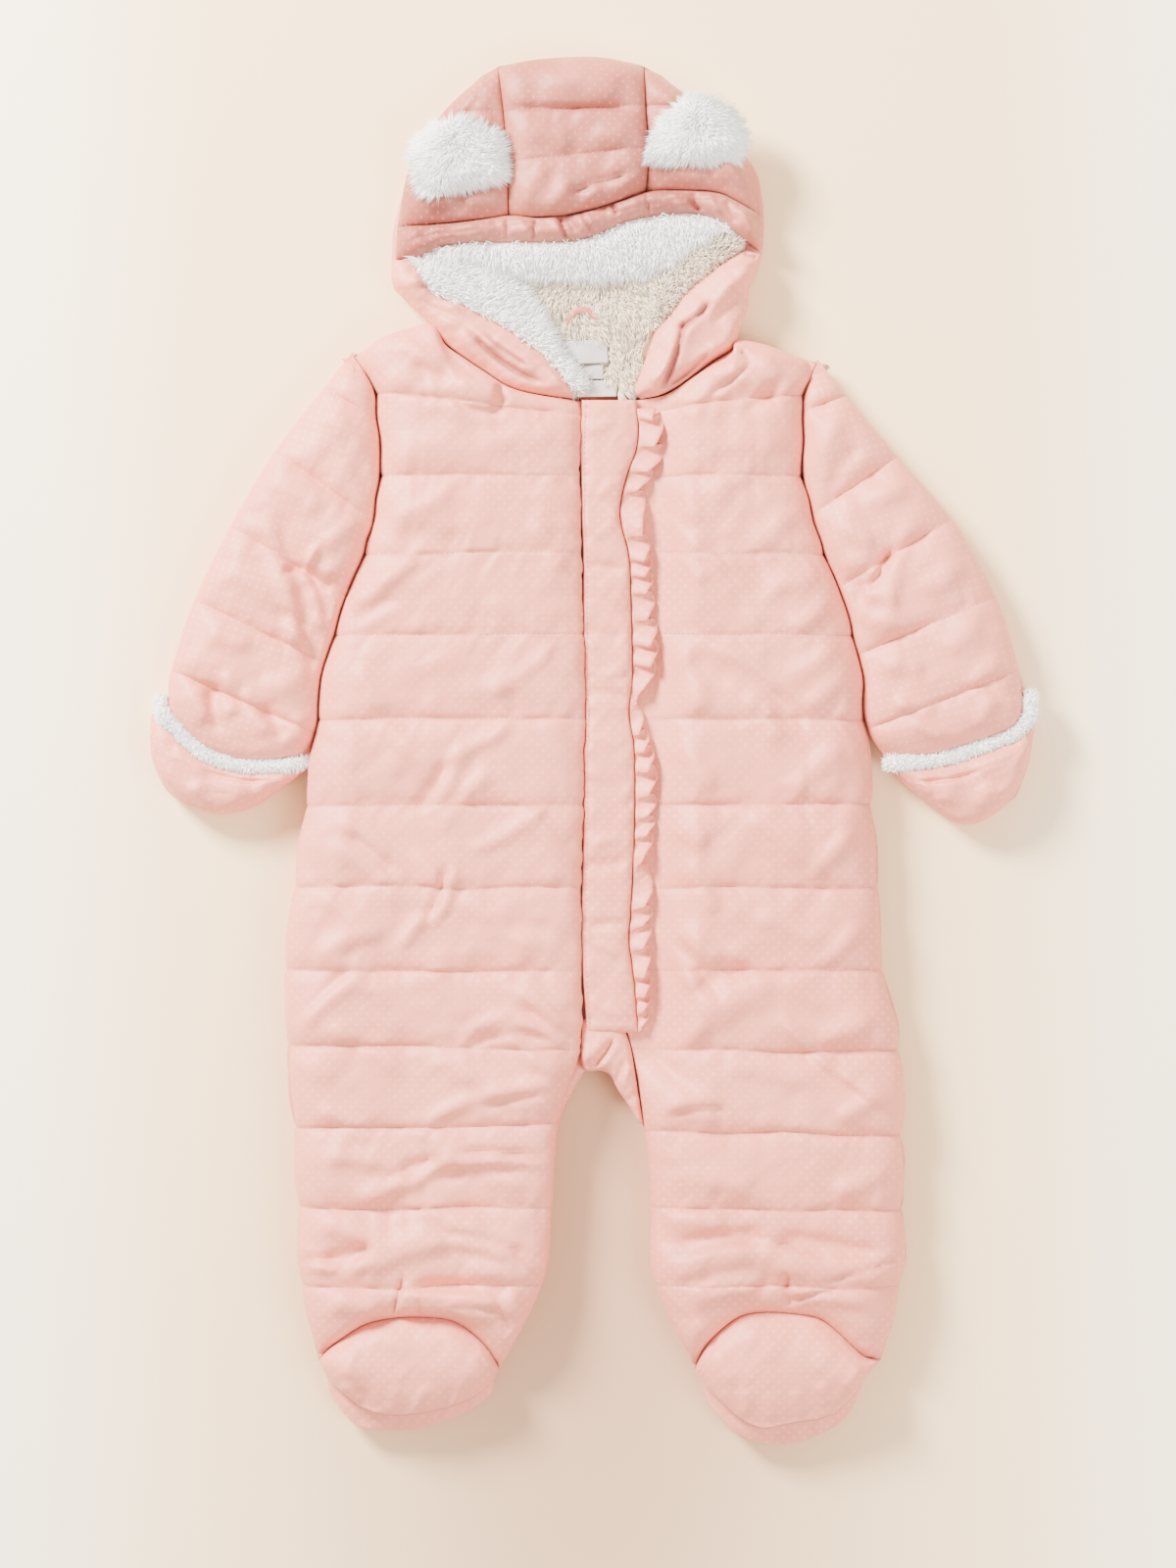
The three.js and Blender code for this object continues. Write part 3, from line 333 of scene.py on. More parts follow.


# Quilted polyester: pin dots are a lattice of faded spots, threads are a product of two sine waves,
# crinkles are stretched noise, and the painted shade attribute darkens the stitched lines, seams and narrow
# crease troughs: painted shade of their grooves
def shellMaterial(name, grain, deep="deepColour", depth=(0, 0.34), dots=0.5):
    look = shellLook
    material, shader, add, join = startMaterial(
        name, Roughness=look["roughness"], Sheen_Weight=look["sheen"], Sheen_Roughness=0.4,
        Sheen_Tint=look["sheenColour"], Specular_IOR_Level=0.42)
    place = add("TexCoord")
    lattice = join(place, add("Mapping", Rotation=(0, 0, math.radians(45 + grain))), 3)
    pitch = 1000 / look["dotPitch"]
    flat = join(lattice, add("VectorMath", operation="MULTIPLY"))
    flat.inputs[1].default_value = (pitch, pitch, 0)
    cell = join(flat, add("VectorMath", operation="FRACTION"))
    middle = join(cell, add("VectorMath", operation="SUBTRACT"))
    middle.inputs[1].default_value = (0.5, 0.5, 0)
    radius = join(middle, add("VectorMath", operation="LENGTH"))
    dot = join(radius, add("MapRange", From_Min=look["dotRadius"], From_Max=look["dotRadius"] + 0.07,
                           To_Min=dots, To_Max=0), 1)
    wear = join(place, add("TexNoise", Scale=look["wearScale"]), 3)
    faded = join(wear, add("MapRange", From_Min=0.35, From_Max=0.62, To_Min=0.25, To_Max=1))
    shownDot = join(dot, add("Math", operation="MULTIPLY"))
    join(faded, shownDot, 0, 1)
    cloud = join(place, add("TexNoise", Scale=look["cloudScale"], Detail=4), 3)
    tone = join(cloud, add("MapRange", From_Min=0.38, From_Max=0.62, To_Min=depth[0], To_Max=depth[1]))
    ground = mixColour(add, join, tone, look["colour"], look[deep])
    printed = mixColour(add, join, shownDot, ground, look["printColour"])
    # Painted shade along stitched lines, seams and narrow crease troughs
    seam = add("Attribute", attribute_name="seam")
    join(mixColour(add, join, seam, printed, look["seamColour"], 2), shader, 2, 0)
    perMetre = 2 * math.pi / (look["threadPitch"] * millimetre)
    threads = join(lattice, add("VectorMath", operation="SCALE", Scale=perMetre))
    waves = join(threads, add("VectorMath", operation="SINE"))
    split = join(waves, add("SeparateXYZ"))
    weave = join(split, add("Math", operation="MULTIPLY"))
    join(split, weave, 1, 1)
    crinkle = join(place, add("TexNoise", Scale=look["crinkleScale"], Detail=5, Distortion=0.8), 3)
    crumple = join(crinkle, add("Bump", Strength=0.55, Distance=look["crinkleDepth"]), 0, "Height")
    fine = join(weave, add("Bump", Strength=0.25, Distance=look["weaveDepth"]), 0, "Height")
    join(crumple, fine, 0, "Normal")
    join(fine, shader, 0, "Normal")
    return material


furLook = {
    "white": (0.98, 0.965, 0.94, 1),
    # The root colours, here and below, are painted shade deep among the fibres; the beds under the pile take
    # a share of it
    "whiteRoot": (0.95, 0.91, 0.86, 1),
    "whiteGlow": 0.32,
    "ivory": (0.90, 0.76, 0.57, 1),
    "ivoryRoot": (0.72, 0.56, 0.38, 1),
    "ivoryGlow": 0.05,
    "patchScale": 160,
    "fibreScale": 900,
}


# Pile: the darker root colour, painted shade among the fibres, turns to the tip colour along the length
# attribute, times patches of tone.
# A little glow stands for the light that fibres pass on to each other
def pileMaterial(name):
    look = furLook
    material, shader, add, join = startMaterial(
        name + "Pile", Roughness=0.9, Sheen_Weight=0.55, Sheen_Roughness=0.5, Specular_IOR_Level=0.2,
        Emission_Strength=look[name + "Glow"])
    length = add("Attribute", attribute_name="length")
    place = add("TexCoord")
    patches = join(place, add("TexNoise", Scale=look["patchScale"]), 3)
    shade = join(patches, add("MapRange", From_Min=0.3, From_Max=0.7, To_Min=0.93, To_Max=1.03))
    blend = mixColour(add, join, length, look[name + "Root"], look[name], 2)
    toned = join(blend, add("Mix", data_type="RGBA", blend_type="MULTIPLY"), 2, 6)
    toned.inputs[0].default_value = 1
    join(shade, toned, 0, 7)
    join(toned, shader, 2, 0)
    join(toned, shader, 2, "Emission Color")
    fibres = join(place, add("TexNoise", Scale=look["fibreScale"]), 3)
    bump = join(fibres, add("Bump", Strength=0.15, Distance=0.0002), 0, "Height")
    join(bump, shader, 0, "Normal")
    return material


# Satin label or thread: a wave of ribs or twist, and a darker colour that follows noise or the wave
def ribbedMaterial(name, colour, shade, bands, scale, relief, roughness, sheen, distortion=0, noise=None):
    material, shader, add, join = startMaterial(name, Roughness=roughness, Sheen_Weight=sheen)
    place = add("TexCoord")
    ribs = join(place, add("TexWave", bands_direction=bands, Scale=scale, Distortion=distortion), 3)
    tone = join(place, add("TexNoise", Scale=noise), 3) if noise else ribs
    join(mixColour(add, join, tone, colour, darkened(colour, shade)), shader, 2, 0)
    bump = join(ribs, add("Bump", Strength=relief[0], Distance=relief[1]), 0, "Height")
    join(bump, shader, 0, "Normal")
    return material


bodyCloth = shellMaterial("bodyCloth", 0)
rightSleeveCloth = shellMaterial("rightSleeveCloth", -28)
leftSleeveCloth = shellMaterial("leftSleeveCloth", 30)
# The hood's crown, top band and loop take a darker copy of the shell cloth: painted shade
shadedHoodCloth = shellMaterial("shadedHoodCloth", 4, "hoodShadeColour", (0.55, 1), 0.22)
whitePile, ivoryPile = pileMaterial("white"), pileMaterial("ivory")
labelSatin = ribbedMaterial(
    "labelSatin", (0.50, 0.455, 0.44, 1), 0.9, "Y", 420, (0.35, 0.0001), 0.42, 0.15, 0, 140)
pinkThread = ribbedMaterial(
    "pinkThread", (0.52, 0.24, 0.20, 1), 0.72, "DIAGONAL", 500, (0.4, 0.0002), 0.55, 0.2, 1.5)
zipTape = ribbedMaterial(
    "zipTape", (0.62, 0.33, 0.27, 1), 0.72, "DIAGONAL", 260, (0.4, 0.0002), 0.55, 0.2, 1.5)
print("materials made")


# Body: two fronts on two backs. Rows are outer x y, inner x y, one for each quilting line

body = {
    "rightRows": [
        [-133, 220, -6, 195], [-121, 199, -6, 187], [-118, 153, -7, 153], [-127, 109, -6, 110],
        [-145, 64, -5, 65], [-154, 17, -4, 18], [-160, -31, -5, -30], [-166, -76, -6, -76],
        [-171, -122, -6, -122], [-170, -164, -7, -166], [-166, -210, -19, -207],
        [-164, -254, -23, -254], [-162, -298, -28, -297], [-153, -340, -52, -345],
    ],
    "leftRows": [
        [125, 216, 8, 195], [118, 198, 8, 187], [117, 153, 8, 153], [129, 109, 8, 110],
        [145, 64, 8, 65], [152, 17, 8, 18], [156, -30, 8, -30], [159, -76, 8, -76],
        [162, -122, 8, -122], [172, -167, 22, -166], [173, -214, 29, -211],
        [173, -256, 33, -254], [172, -298, 35, -297], [161, -340, 57, -345],
    ],
    "rightNeck": [[-133, 220], [-115, 231], [-102, 235], [-89, 237], [-82, 226], [-71, 218],
                  [-59, 210], [-50, 204], [-40, 200], [-25, 197], [-6, 195]],
    "leftNeck": [[125, 216], [107, 222], [97, 226], [80, 229], [78, 223], [67, 216], [56, 208],
                 [46, 201], [37, 197], [23, 195], [8, 195]],
    "rightToeArc": [[-153, -340], [-144, -331], [-128, -320], [-113, -316], [-97, -315],
                    [-79, -317], [-66, -325], [-57, -335], [-52, -345]],
    "leftToeArc": [[161, -340], [152, -338], [145, -332], [138, -325], [128, -317], [119, -314],
                   [99, -312], [84, -314], [72, -322], [63, -332], [57, -345]],
    "rightSole": [[-148, -350], [-137, -359], [-125, -367], [-111, -370], [-90, -368],
                  [-68, -361], [-55, -351]],
    "leftSole": [[151, -350], [139, -366], [126, -372], [112, -374], [95, -377], [81, -371],
                 [62, -353]],
    "chestCrown": 30.5,
    "legCrown": 32.5,
    "rollWidth": 26,
    "quiltDepth": 4.4,
    "puckerDepth": 1.25,
    "puckerReach": 10,
    "lineStrengths": [1, 0.8, 0.65, 0.4, 0.45, 0.75, 0.8, 0.9, 0.9, 0.95, 1, 1, 0.65, 1],
    "lineDrift": 1.6,     # how far a quilting line wanders up or down
    "scallop": 2.0,       # how far the side swells out between two lines
    "stepsPerChannel": 24,
    "columns": 104,
    "zipTop": 17.2,       # height of the left front under the placket
    "bedEdge": 32,
    "bedEnd": -168,
}

# Creases read from the photo: x1 y1 x2 y2 width height bend
bodyCreases = [
    [-78, 196, -49, 189, 3, -2.2, -4], [-74, 204, -52, 198, 6, 1.8, -3],
    [82, 222, 88.5, 215, 1.4, -1.8, 0], [88.5, 215, 66, 198, 1.8, -1.8, 1],
    [80, 217, 66, 206, 5, 1.4, 0], [-96, 197, -54, 189, 9, 3.2, 4], [-52, 204, -49, 192, 2.4, -2.4, 0],
    [-108, 226, -84, 208, 5, 1.8, 2], [-100, 214, -78, 203, 4, -1.5, 1],
    [-116, 206, -92, 196, 6, 1.6, 0], [-80, 222, -60, 205, 4, -1.4, -2],
    [-112, 168, -60, 160, 9, 1.5, 3], [-20, 176, -64, 171, 7, 1.2, 2],
    [-114, 128, -76, 146, 6, 1.4, -2], [-110, 118, -70, 112, 7, -1.3, 3],
    [-34, 128, -14, 98, 5, 1.3, 0], [-120, 92, -96, 108, 5, 1.6, 0], [-132, 84, -104, 98, 4.5, 1.5, 2],
    [-134, 70, -108, 84, 4, -1.5, 2], [-60, 84, -20, 60, 6, 1.2, 3], [-112, 40, -74, 52, 7, 1.1, 0],
    [-130, 46, -116, 20, 5, 1.2, 0], [-78, 30, -30, 34, 7, 1, 4], [-118, 14, -84, -22, 5, 1.7, 3],
    [-78, 4, -98, -34, 4.5, -1.8, 2], [-72, 2, -90, -36, 5, 2, 2], [-56, -12, -84, -46, 4.5, 1.6, -3],
    [-46, -20, -18, -58, 5, 1.3, 0], [-142, -38, -112, -60, 5, 1.7, 2],
    [-146, -52, -104, -86, 6, 1.8, 4], [-136, -46, -108, -72, 3.6, -1.6, 2],
    [-152, -78, -120, -104, 5, 1.6, 0], [-100, -56, -78, -88, 5, 1.4, 2],
    [-70, -84, -28, -112, 6, 1.6, 0], [-60, -96, -22, -100, 5, -1.3, 0],
    [-154, -112, -112, -140, 6, 1.6, 3], [-104, -110, -62, -150, 6, 1.4, 0],
    [-46, -130, -12, -158, 5, 1.9, 2], [-40, -142, -10, -168, 3.6, -1.8, 2],
    [-52, -152, -14, -182, 5, 2, -2], [-150, -154, -104, -178, 6, 1.6, 3],
    [-92, -172, -40, -196, 6, 1.5, 3], [-40, -182, -20, -204, 4, 1.6, 0],
    [-156, -196, -120, -216, 5, 1.7, 0], [-110, -204, -64, -232, 6, 1.5, 3],
    [-140, -232, -20, -229, 6, -2, -3], [-150, -224, -96, -238, 6, 1.8, 2],
    [-90, -222, -36, -242, 6, 1.7, 0], [-130, -250, -104, -230, 4.5, 1.6, 0],
    [-154, -262, -112, -276, 6, 2, 3], [-100, -252, -60, -268, 6, 1.6, 2],
    [-125, -286, -84, -270, 7, 3, 3], [-150, -284, -120, -276, 4.5, -2, 0],
    [-82, -262, -40, -284, 5, 2.2, 3], [-70, -286, -32, -292, 5, 2.4, 0],
    [-110, -306, -55, -312, 7, 4, 3], [-100, -298, -60, -300, 4, -2.4, 2],
    [-146, -304, -118, -312, 6, 2, 0], [-48, -300, -34, -322, 5, 2.4, 0], [38, 200, 62, 186, 6, 1.8, 0],
    [66, 212, 96, 200, 6, 2, 3], [92, 220, 112, 196, 5, 1.7, 0], [108, 208, 84, 186, 4, -1.5, 0],
    [60, 176, 108, 168, 8, 1.3, -3], [64, 138, 96, 158, 7, 1.4, 3], [42, 150, 58, 126, 6, 1.2, 0],
    [86, 146, 72, 118, 5, 1.2, 2], [112, 132, 90, 112, 6, 1.5, 0], [126, 98, 96, 92, 6, 1.5, 2],
    [48, 112, 62, 92, 6, 1.6, 0], [132, 84, 108, 66, 5, 1.7, 2], [45, 60, 62, 20, 7, 2, 0],
    [52, 52, 78, 36, 6, -1.4, 0], [138, 60, 104, 40, 6, 1.6, 3], [142, 42, 116, 22, 5, 1.4, 0],
    [84, 32, 104, 2, 6, 1.5, 3], [96, 34, 118, 8, 5, -1.2, 3], [44, 4, 66, -22, 6, 1.8, 2],
    [140, 4, 108, -24, 6, 1.5, 0], [50, -60, 70, -90, 7, 1.9, 0], [40, -44, 64, -52, 6, 1.5, 2],
    [86, -36, 120, -64, 7, 1.4, 3], [146, -44, 120, -70, 5, 1.5, 0], [44, -100, 72, -118, 6, 1.8, 2],
    [90, -92, 128, -110, 7, 1.4, 3], [150, -96, 128, -120, 5, 1.5, 0], [55, -152, 118, -126, 8, 2.6, 4],
    [52, -138, 92, -120, 4.5, -1.6, 3], [40, -176, 62, -150, 5, 1.8, 0],
    [158, -146, 122, -160, 6, 1.6, 2], [76, -176, 126, -186, 6, 1.4, 3],
    [164, -190, 134, -204, 5, 1.7, 0], [42, -196, 70, -206, 6, 1.8, 2],
    [94, -206, 148, -226, 7, 1.5, 3], [46, -236, 92, -244, 6, 1.6, 2],
    [166, -232, 132, -246, 5, 1.6, 0], [38, -262, 74, -262, 6, 2, 3], [35, -290, 90, -278, 7, 3.6, 3],
    [90, -278, 168, -290, 7, 3.8, -3], [44, -276, 96, -268, 4, -2.2, 2],
    [104, -270, 160, -280, 4.5, -2.2, 0], [52, -304, 92, -296, 6, 2.4, 2],
    [108, -300, 158, -306, 6, 2.2, 2], [62, -318, 48, -334, 5, 2, 0],
    # long folds
    [-167, -157, -130, -127, 5, 1.8, 2], [-163, -150, -131, -120, 3, -1.3, 2],
    [-154, -113, -115, -101, 5, 1.5, 2], [-106, -111, -92, -92, 3.4, 1.8, 2],
    [-92, -94, -81, -62, 2.4, -1.5, -2], [-88, -96, -76, -64, 3.4, 1.6, -2],
    [-72, -159, -43, -148, 3.6, 1.8, 3], [-45, -148, -12, -166, 3.4, 1.8, 2],
    [-70, -165, -20, -162, 2.6, -1.3, 6], [-94, -209, -62, -192, 3.8, 1.8, 2],
    [-64, -193, -21, -185, 3.4, 1.6, 2], [-60, -198, -24, -190, 2.4, -1.4, 1],
    [-127, -252, -98, -238, 4.2, 2.2, 2], [-100, -240, -76, -227, 3.6, 2.4, 1],
    [-80, -228, -22, -231, 3.2, 2.4, 2], [-78, -222, -24, -226, 2, -2.2, 1],
    [-118, -240, -84, -225, 2.4, -1.4, 2], [-134, -289, -105, -275, 3.8, 2.2, 2],
    [-108, -276, -80, -272, 3.4, 1.8, 1], [-82, -272, -34, -287, 3.6, 2.2, 3],
    [-80, -267, -36, -280, 2, -1.8, 3], [-163, -283, -140, -281, 2, -2, 0],
    [-162, -287, -140, -286, 3, 1.6, 0], [-105, -290, -112, -314, 1.6, -1.6, 1],
    [-96, -303, -97, -316, 1.4, -1.8, 0], [-82, -309, -50, -312, 1.8, -2.2, 2],
    [-80, -304, -52, -307, 3.2, 1.8, 2], [-52, -312, -47, -323, 1.8, -2, 1],
    [36, -284, 100, -271, 2, -2, 2], [98, -272, 134, -284, 2, -1.9, 1],
    [130, -295, 171, -283, 2, -2, 1], [39, -198, 73, -194, 3.2, 1.7, 2],
    [42, -203, 74, -200, 2.2, -1.3, 2], [104, -147, 136, -180, 4, 1.7, -2],
    [134, -179, 167, -198, 3.8, 1.7, 1], [110, -160, 160, -200, 2.6, -1.2, -2],
    [34, -101, 66, -149, 4, 1.6, 2], [44, -104, 74, -144, 2.6, -1.2, 2],
    [75, -108, 100, -132, 4, 1.4, 0], [109, -309, 107, -290, 1.8, -1.5, 0],
    [109, -306, 138, -299, 2, -1.6, 1], [-20, 60, -60, 30, 4, 1.3, 3], [-40, 20, -90, -8, 4, 1.5, 3],
    [40, 130, 80, 100, 4, 1.4, -3], [60, 60, 110, 30, 4, 1.3, 3], [-24, -30, -70, -56, 4, 1.4, 3],

]


# Plan points between two rails; near its ends a row bends towards the head and hem curves
def panelPlan(rows, v, u, head=None, hem=None, reach=1):
    rows = np.asarray(rows, float)
    channels = len(rows) - 1
    outer, inner = curvePoint(rows[:, :2], v)[:, None], curvePoint(rows[:, 2:], v)[:, None]
    share = np.asarray(u)[None, :, None]
    plan = outer + (inner - outer) * share
    along = (np.asarray(v) * channels)[:, None, None]
    for curve, left, row in ((head, along, 0), (hem, channels - along, -1)):
        if curve is not None:
            straight = rows[row, :2] + (rows[row, 2:] - rows[row, :2]) * share
            plan = plan + np.maximum(0, 1 - left / reach) * (arcPoint(curve, u)[None] - straight)
    return plan


# Side swell: between two quilting lines the outer edge moves out, and the move fades inwards
def swelled(plan, v, channels, amount, seed):
    t = np.modf(v * channels)[0]
    across = plan[:, -1] - plan[:, 0]
    width = np.linalg.norm(across, axis=1)[:, None]
    away = -across / width
    wobble = softNoise(v * channels * 3.1, v * 0, 1, seed) * 0.9
    move = amount * ((4 * t * (1 - t)) ** 0.6 - 0.55) + wobble
    move *= softStep(v * channels) * softStep((1 - v) * channels)
    inward = distanceTo(plan, plan[:, :1])
    fade = np.exp(-(inward / 14) ** 2) * (1 - softStep(inward / width * 1.2))
    return plan + away[:, None] * (move[:, None] * fade)[..., None]


quilting = {
    "grooveReach": 2.6,    # mm of the sharp part of a groove
    "uneven": 0.55,        # how much a groove's depth changes along its line
    "sideShare": 0.8,      # puckers along the long seams, as a share of the others
    "foldGain": 1.9,       # mm for each mm in the crease tables
    "legFoldGain": 0.7,    # more of it from the knees down
    "foldLimit": 5,        # mm that folds rise or sink at most
    # the dark line at a stitched line is painted shade of its groove
    "seamWidth": 0.85,     # mm of the dark line at a stitched line
    "seamShade": 0.55,
}


# Height of a quilted panel: a crown that rolls down at each edge, a pointed groove at each
# stitched line, short puckers beside it that follow noise along the line, and placed creases
def quiltHeight(plan, v, channels, crown, edges, look, seed, creases):
    rollWidth, pucker = look["rollWidth"], look["puckerDepth"]
    rims = (plan[:, :1], plan[:, -1:], plan[:1], plan[-1:])
    fromOuter, fromInner, fromHead, fromHem = away = [distanceTo(plan, rim) for rim in rims]
    top = np.broadcast_to(crown, plan.shape[:2])
    drop = 0
    for edge, distance in zip(edges, away):
        drop = drop + (top - edge) * (1 - rollOver(distance, rollWidth))
    along = (v * channels)[:, None]
    t = np.where(along >= channels, 1.0, np.modf(along)[0])
    line = np.round(along)
    onEnd = (line < 0.5) | (line > channels - 0.5)
    pitch = np.median(distanceTo(plan[1:], plan[:-1]).sum(0)) / channels
    fromLine = np.minimum(t, 1 - t) * pitch
    x, y, run = plan[..., 0], plan[..., 1], runAlong(plan)
    fromSide = np.minimum(fromOuter, fromInner)
    nearRail = np.minimum(1, fromSide / rollWidth + 0.25)
    uneven = 1 + quilting["uneven"] * softNoise(run, line * 53, 30, seed)
    groove = 0.45 * np.abs(1 - 2 * np.minimum(t, 1 - t)) ** 2.6
    groove = groove + 0.55 * np.exp(-fromLine / quilting["grooveReach"])
    strengths = look.get("lineStrengths", (1, 1))
    strength = np.interp(line / channels, np.linspace(0, 1, len(strengths)), strengths)
    groove = np.where(onEnd, 0, look["quiltDepth"] * groove) * nearRail * uneven * strength
    slant = fromLine * 0.6 * softNoise(run, line * 31, 22, seed + 3)
    ripple = softNoise(run + slant, line * 17 + (t > 0.5) * 7.3, 6.5, seed + 1)
    ripple += 0.5 * softNoise(run + slant, line * 23 + (t > 0.5) * 5.1, 3.6, seed + 2)
    puckers = pucker * ripple * np.exp(-fromLine / look["puckerReach"]) * (1 - np.exp(-(fromLine / 1.1) ** 2))
    puckers = np.where(onEnd, 0.6, 1) * puckers * nearRail
    sideRipple = softNoise(y + 0.4 * x, x * 0 + (fromOuter < fromInner) * 9.7, 8, seed + 4)
    sidePuckers = pucker * quilting["sideShare"] * sideRipple * np.exp(-((fromSide - 7) / 7) ** 2)
    calm = 1.3 * softNoise(x + 0.5 * y, y - 0.3 * x, 38, seed + 5)
    calm += 0.85 * softNoise(x - 0.7 * y, (y + 0.7 * x) * 0.45, 13, seed + 6)
    calm += 0.42 * softNoise(x * 0.5 + y, y - 0.8 * x, 7, seed + 7)
    inside = np.clip(np.minimum(fromSide, np.minimum(fromHead, fromHem)) / 6, 0, 1)
    gain = quilting["foldGain"] + quilting["legFoldGain"] * softStep((-235 - y) / 40)
    folds = quilting["foldLimit"] * np.tanh(gain * creaseHeight(x, y, creases) / quilting["foldLimit"])
    height = top - drop - groove + (puckers + sidePuckers) * inside + (calm + folds) * nearRail * inside
    # Painted shade: a thin dark line at each stitched line for the shade of its groove, stronger and weaker
    # along the line, and shade in the narrow crease troughs
    shadeAlongLine = 0.55 + 0.45 * softNoise(run, line * 41, 26, seed + 9)
    seam = np.where(onEnd, 0, np.clip(1.25 - fromLine / quilting["seamWidth"], 0, 1))
    seam = seam * quilting["seamShade"] * shadeAlongLine * strength
    seam = np.maximum(seam, creaseShade(x, y, creases) * inside)
    return np.maximum(height, min(edges) - 0.2), seam


# A padded piece of shell cloth: a closed panel, whose painted shade attribute is given on its top
# and as one value on its walls, where it is painted shade on their sides
def sewPanel(name, node, plan, height, levels, seam=0, wall=0.1, material=bodyCloth,
             lengthwise=False):
    points, faces = closedPanel(plan, height, levels, lengthwise)
    field = np.full(len(points), float(wall))
    field[:height.size] = np.broadcast_to(seam, height.shape).ravel()
    piece = makePiece(name, points, faces, material, {"seam": field})
    return settle(piece, "shell", node)


stitchLines = []  # polylines that the machine stitches follow


# The stitched lines of a quilted panel are rows of its grid
def keepStitches(plan, height, steps, channels, fromX=None):
    for k in range(1, channels):
        line = np.column_stack([plan[k * steps], height[k * steps]])[2:-2]
        if fromX is not None and line[:, 1].mean() > -170:
            line = line[line[:, 0] > fromX]
        stitchLines.append(line)


# Wobble of the seam beside the placket, in mm along x
def seamWobble(y):
    return 0.55 * softNoise(y, y * 0, 6, 151) + 0.35 * softNoise(y, y * 0, 2.7, 152)


sideEdge = {}  # the outer edge of each front, from the foot up


# A front: quilted rows between its rails. The left one is pressed flat under the placket:
# zipTop + (height - zipTop) times a share that grows beside and below it
def makeFront(side, rows, neck, toeArc, innerEdge, headEdge, seed):
    channels = len(rows) - 1
    v = channelRows(channels, body["stepsPerChannel"])
    u = places(body["columns"], 0.45)
    plan = panelPlan(rows, v, u, neck, toeArc)
    plan = swelled(plan, v, channels, body["scallop"], seed)
    calmEnds = softStep(v * channels) * softStep((1 - v) * channels)
    calmEnds = calmEnds[:, None] * np.sin(np.pi * u)[None]
    plan[..., 1] += body["lineDrift"] * softNoise(plan[..., 0], plan[..., 1], 36, seed + 8) * calmEnds
    if side == "right":
        near = np.exp(-distanceTo(plan, plan[:, -1:]) / 7)
        plan[..., 0] += seamWobble(plan[..., 1]) * near * (plan[..., 1] > -172)
    shoulder = plan[0, 1:np.argmax(plan[0, :, 1])]
    sideEdge[side] = np.concatenate([shoulder[::-1], plan[:, 0]])[::-1]
    crown = (body["chestCrown"] + (body["legCrown"] - body["chestCrown"]) * v)[:, None]
    edges = (13.5, innerEdge, headEdge, 19)
    height, seam = quiltHeight(plan, v, channels, crown, edges, body, seed, bodyCreases)
    if side == "left":  # low and flat under the placket and its frill
        x, y = plan[..., 0], plan[..., 1]
        beside = softStep((x - body["bedEdge"]) / 28)
        below = softStep((body["bedEnd"] - y) / 24)
        height = body["zipTop"] + np.maximum(height - body["zipTop"], -4.05) * np.maximum(beside, below)
    keepStitches(plan, height, body["stepsPerChannel"], channels, 38 if side == "left" else None)
    return sewPanel("front_cloth_" + side, "front_" + side, plan, height,
                    [(0.1, frontFloor + 0.4), (0.5, frontFloor)], seam)


# A back: flat on top, with a wall that rounds down to the floor and ripples by noise
def makeBack(side, rows, neck, sole, middleX, seed):
    rows = [[ox, oy, middleX if iy > -170 else ix, iy] for ox, oy, ix, iy in rows]
    rows[-1] = [*sole[0], *sole[-1]]
    channels = len(rows) - 1
    v, u = channelRows(channels, 8), places(16, 0.6)
    plan = swelled(panelPlan(rows, v, u, neck, sole), v, channels, body["scallop"], seed)
    height = np.full(plan.shape[:2], backTop)
    rim = len(rimNumbers(*plan.shape[:2]))
    ripple = 0.5 * softNoise(np.arange(rim), np.zeros(rim), 5, seed)
    levels = [(0.0 - ripple * 0.3, 10.4), (-0.5 + ripple, 8.2), (-0.2 + ripple, 5.6),
              (0.9 + ripple * 0.5, 2.8), (2.4, 0.9), (4.5, 0)]
    return sewPanel("back_cloth_" + side, "back_" + side, plan, height, levels, wall=0)


makeFront("right", body["rightRows"], body["rightNeck"], body["rightToeArc"], 20.5, 19, 11)
makeFront("left", body["leftRows"], body["leftNeck"], body["leftToeArc"], 17, 17, 23)
makeBack("right", body["rightRows"], body["rightNeck"], body["rightSole"], 0.85, 31)
makeBack("left", body["leftRows"], body["leftNeck"], body["leftSole"], 1.2, 37)
print("body made")


# Sleeves, mittens and their trims

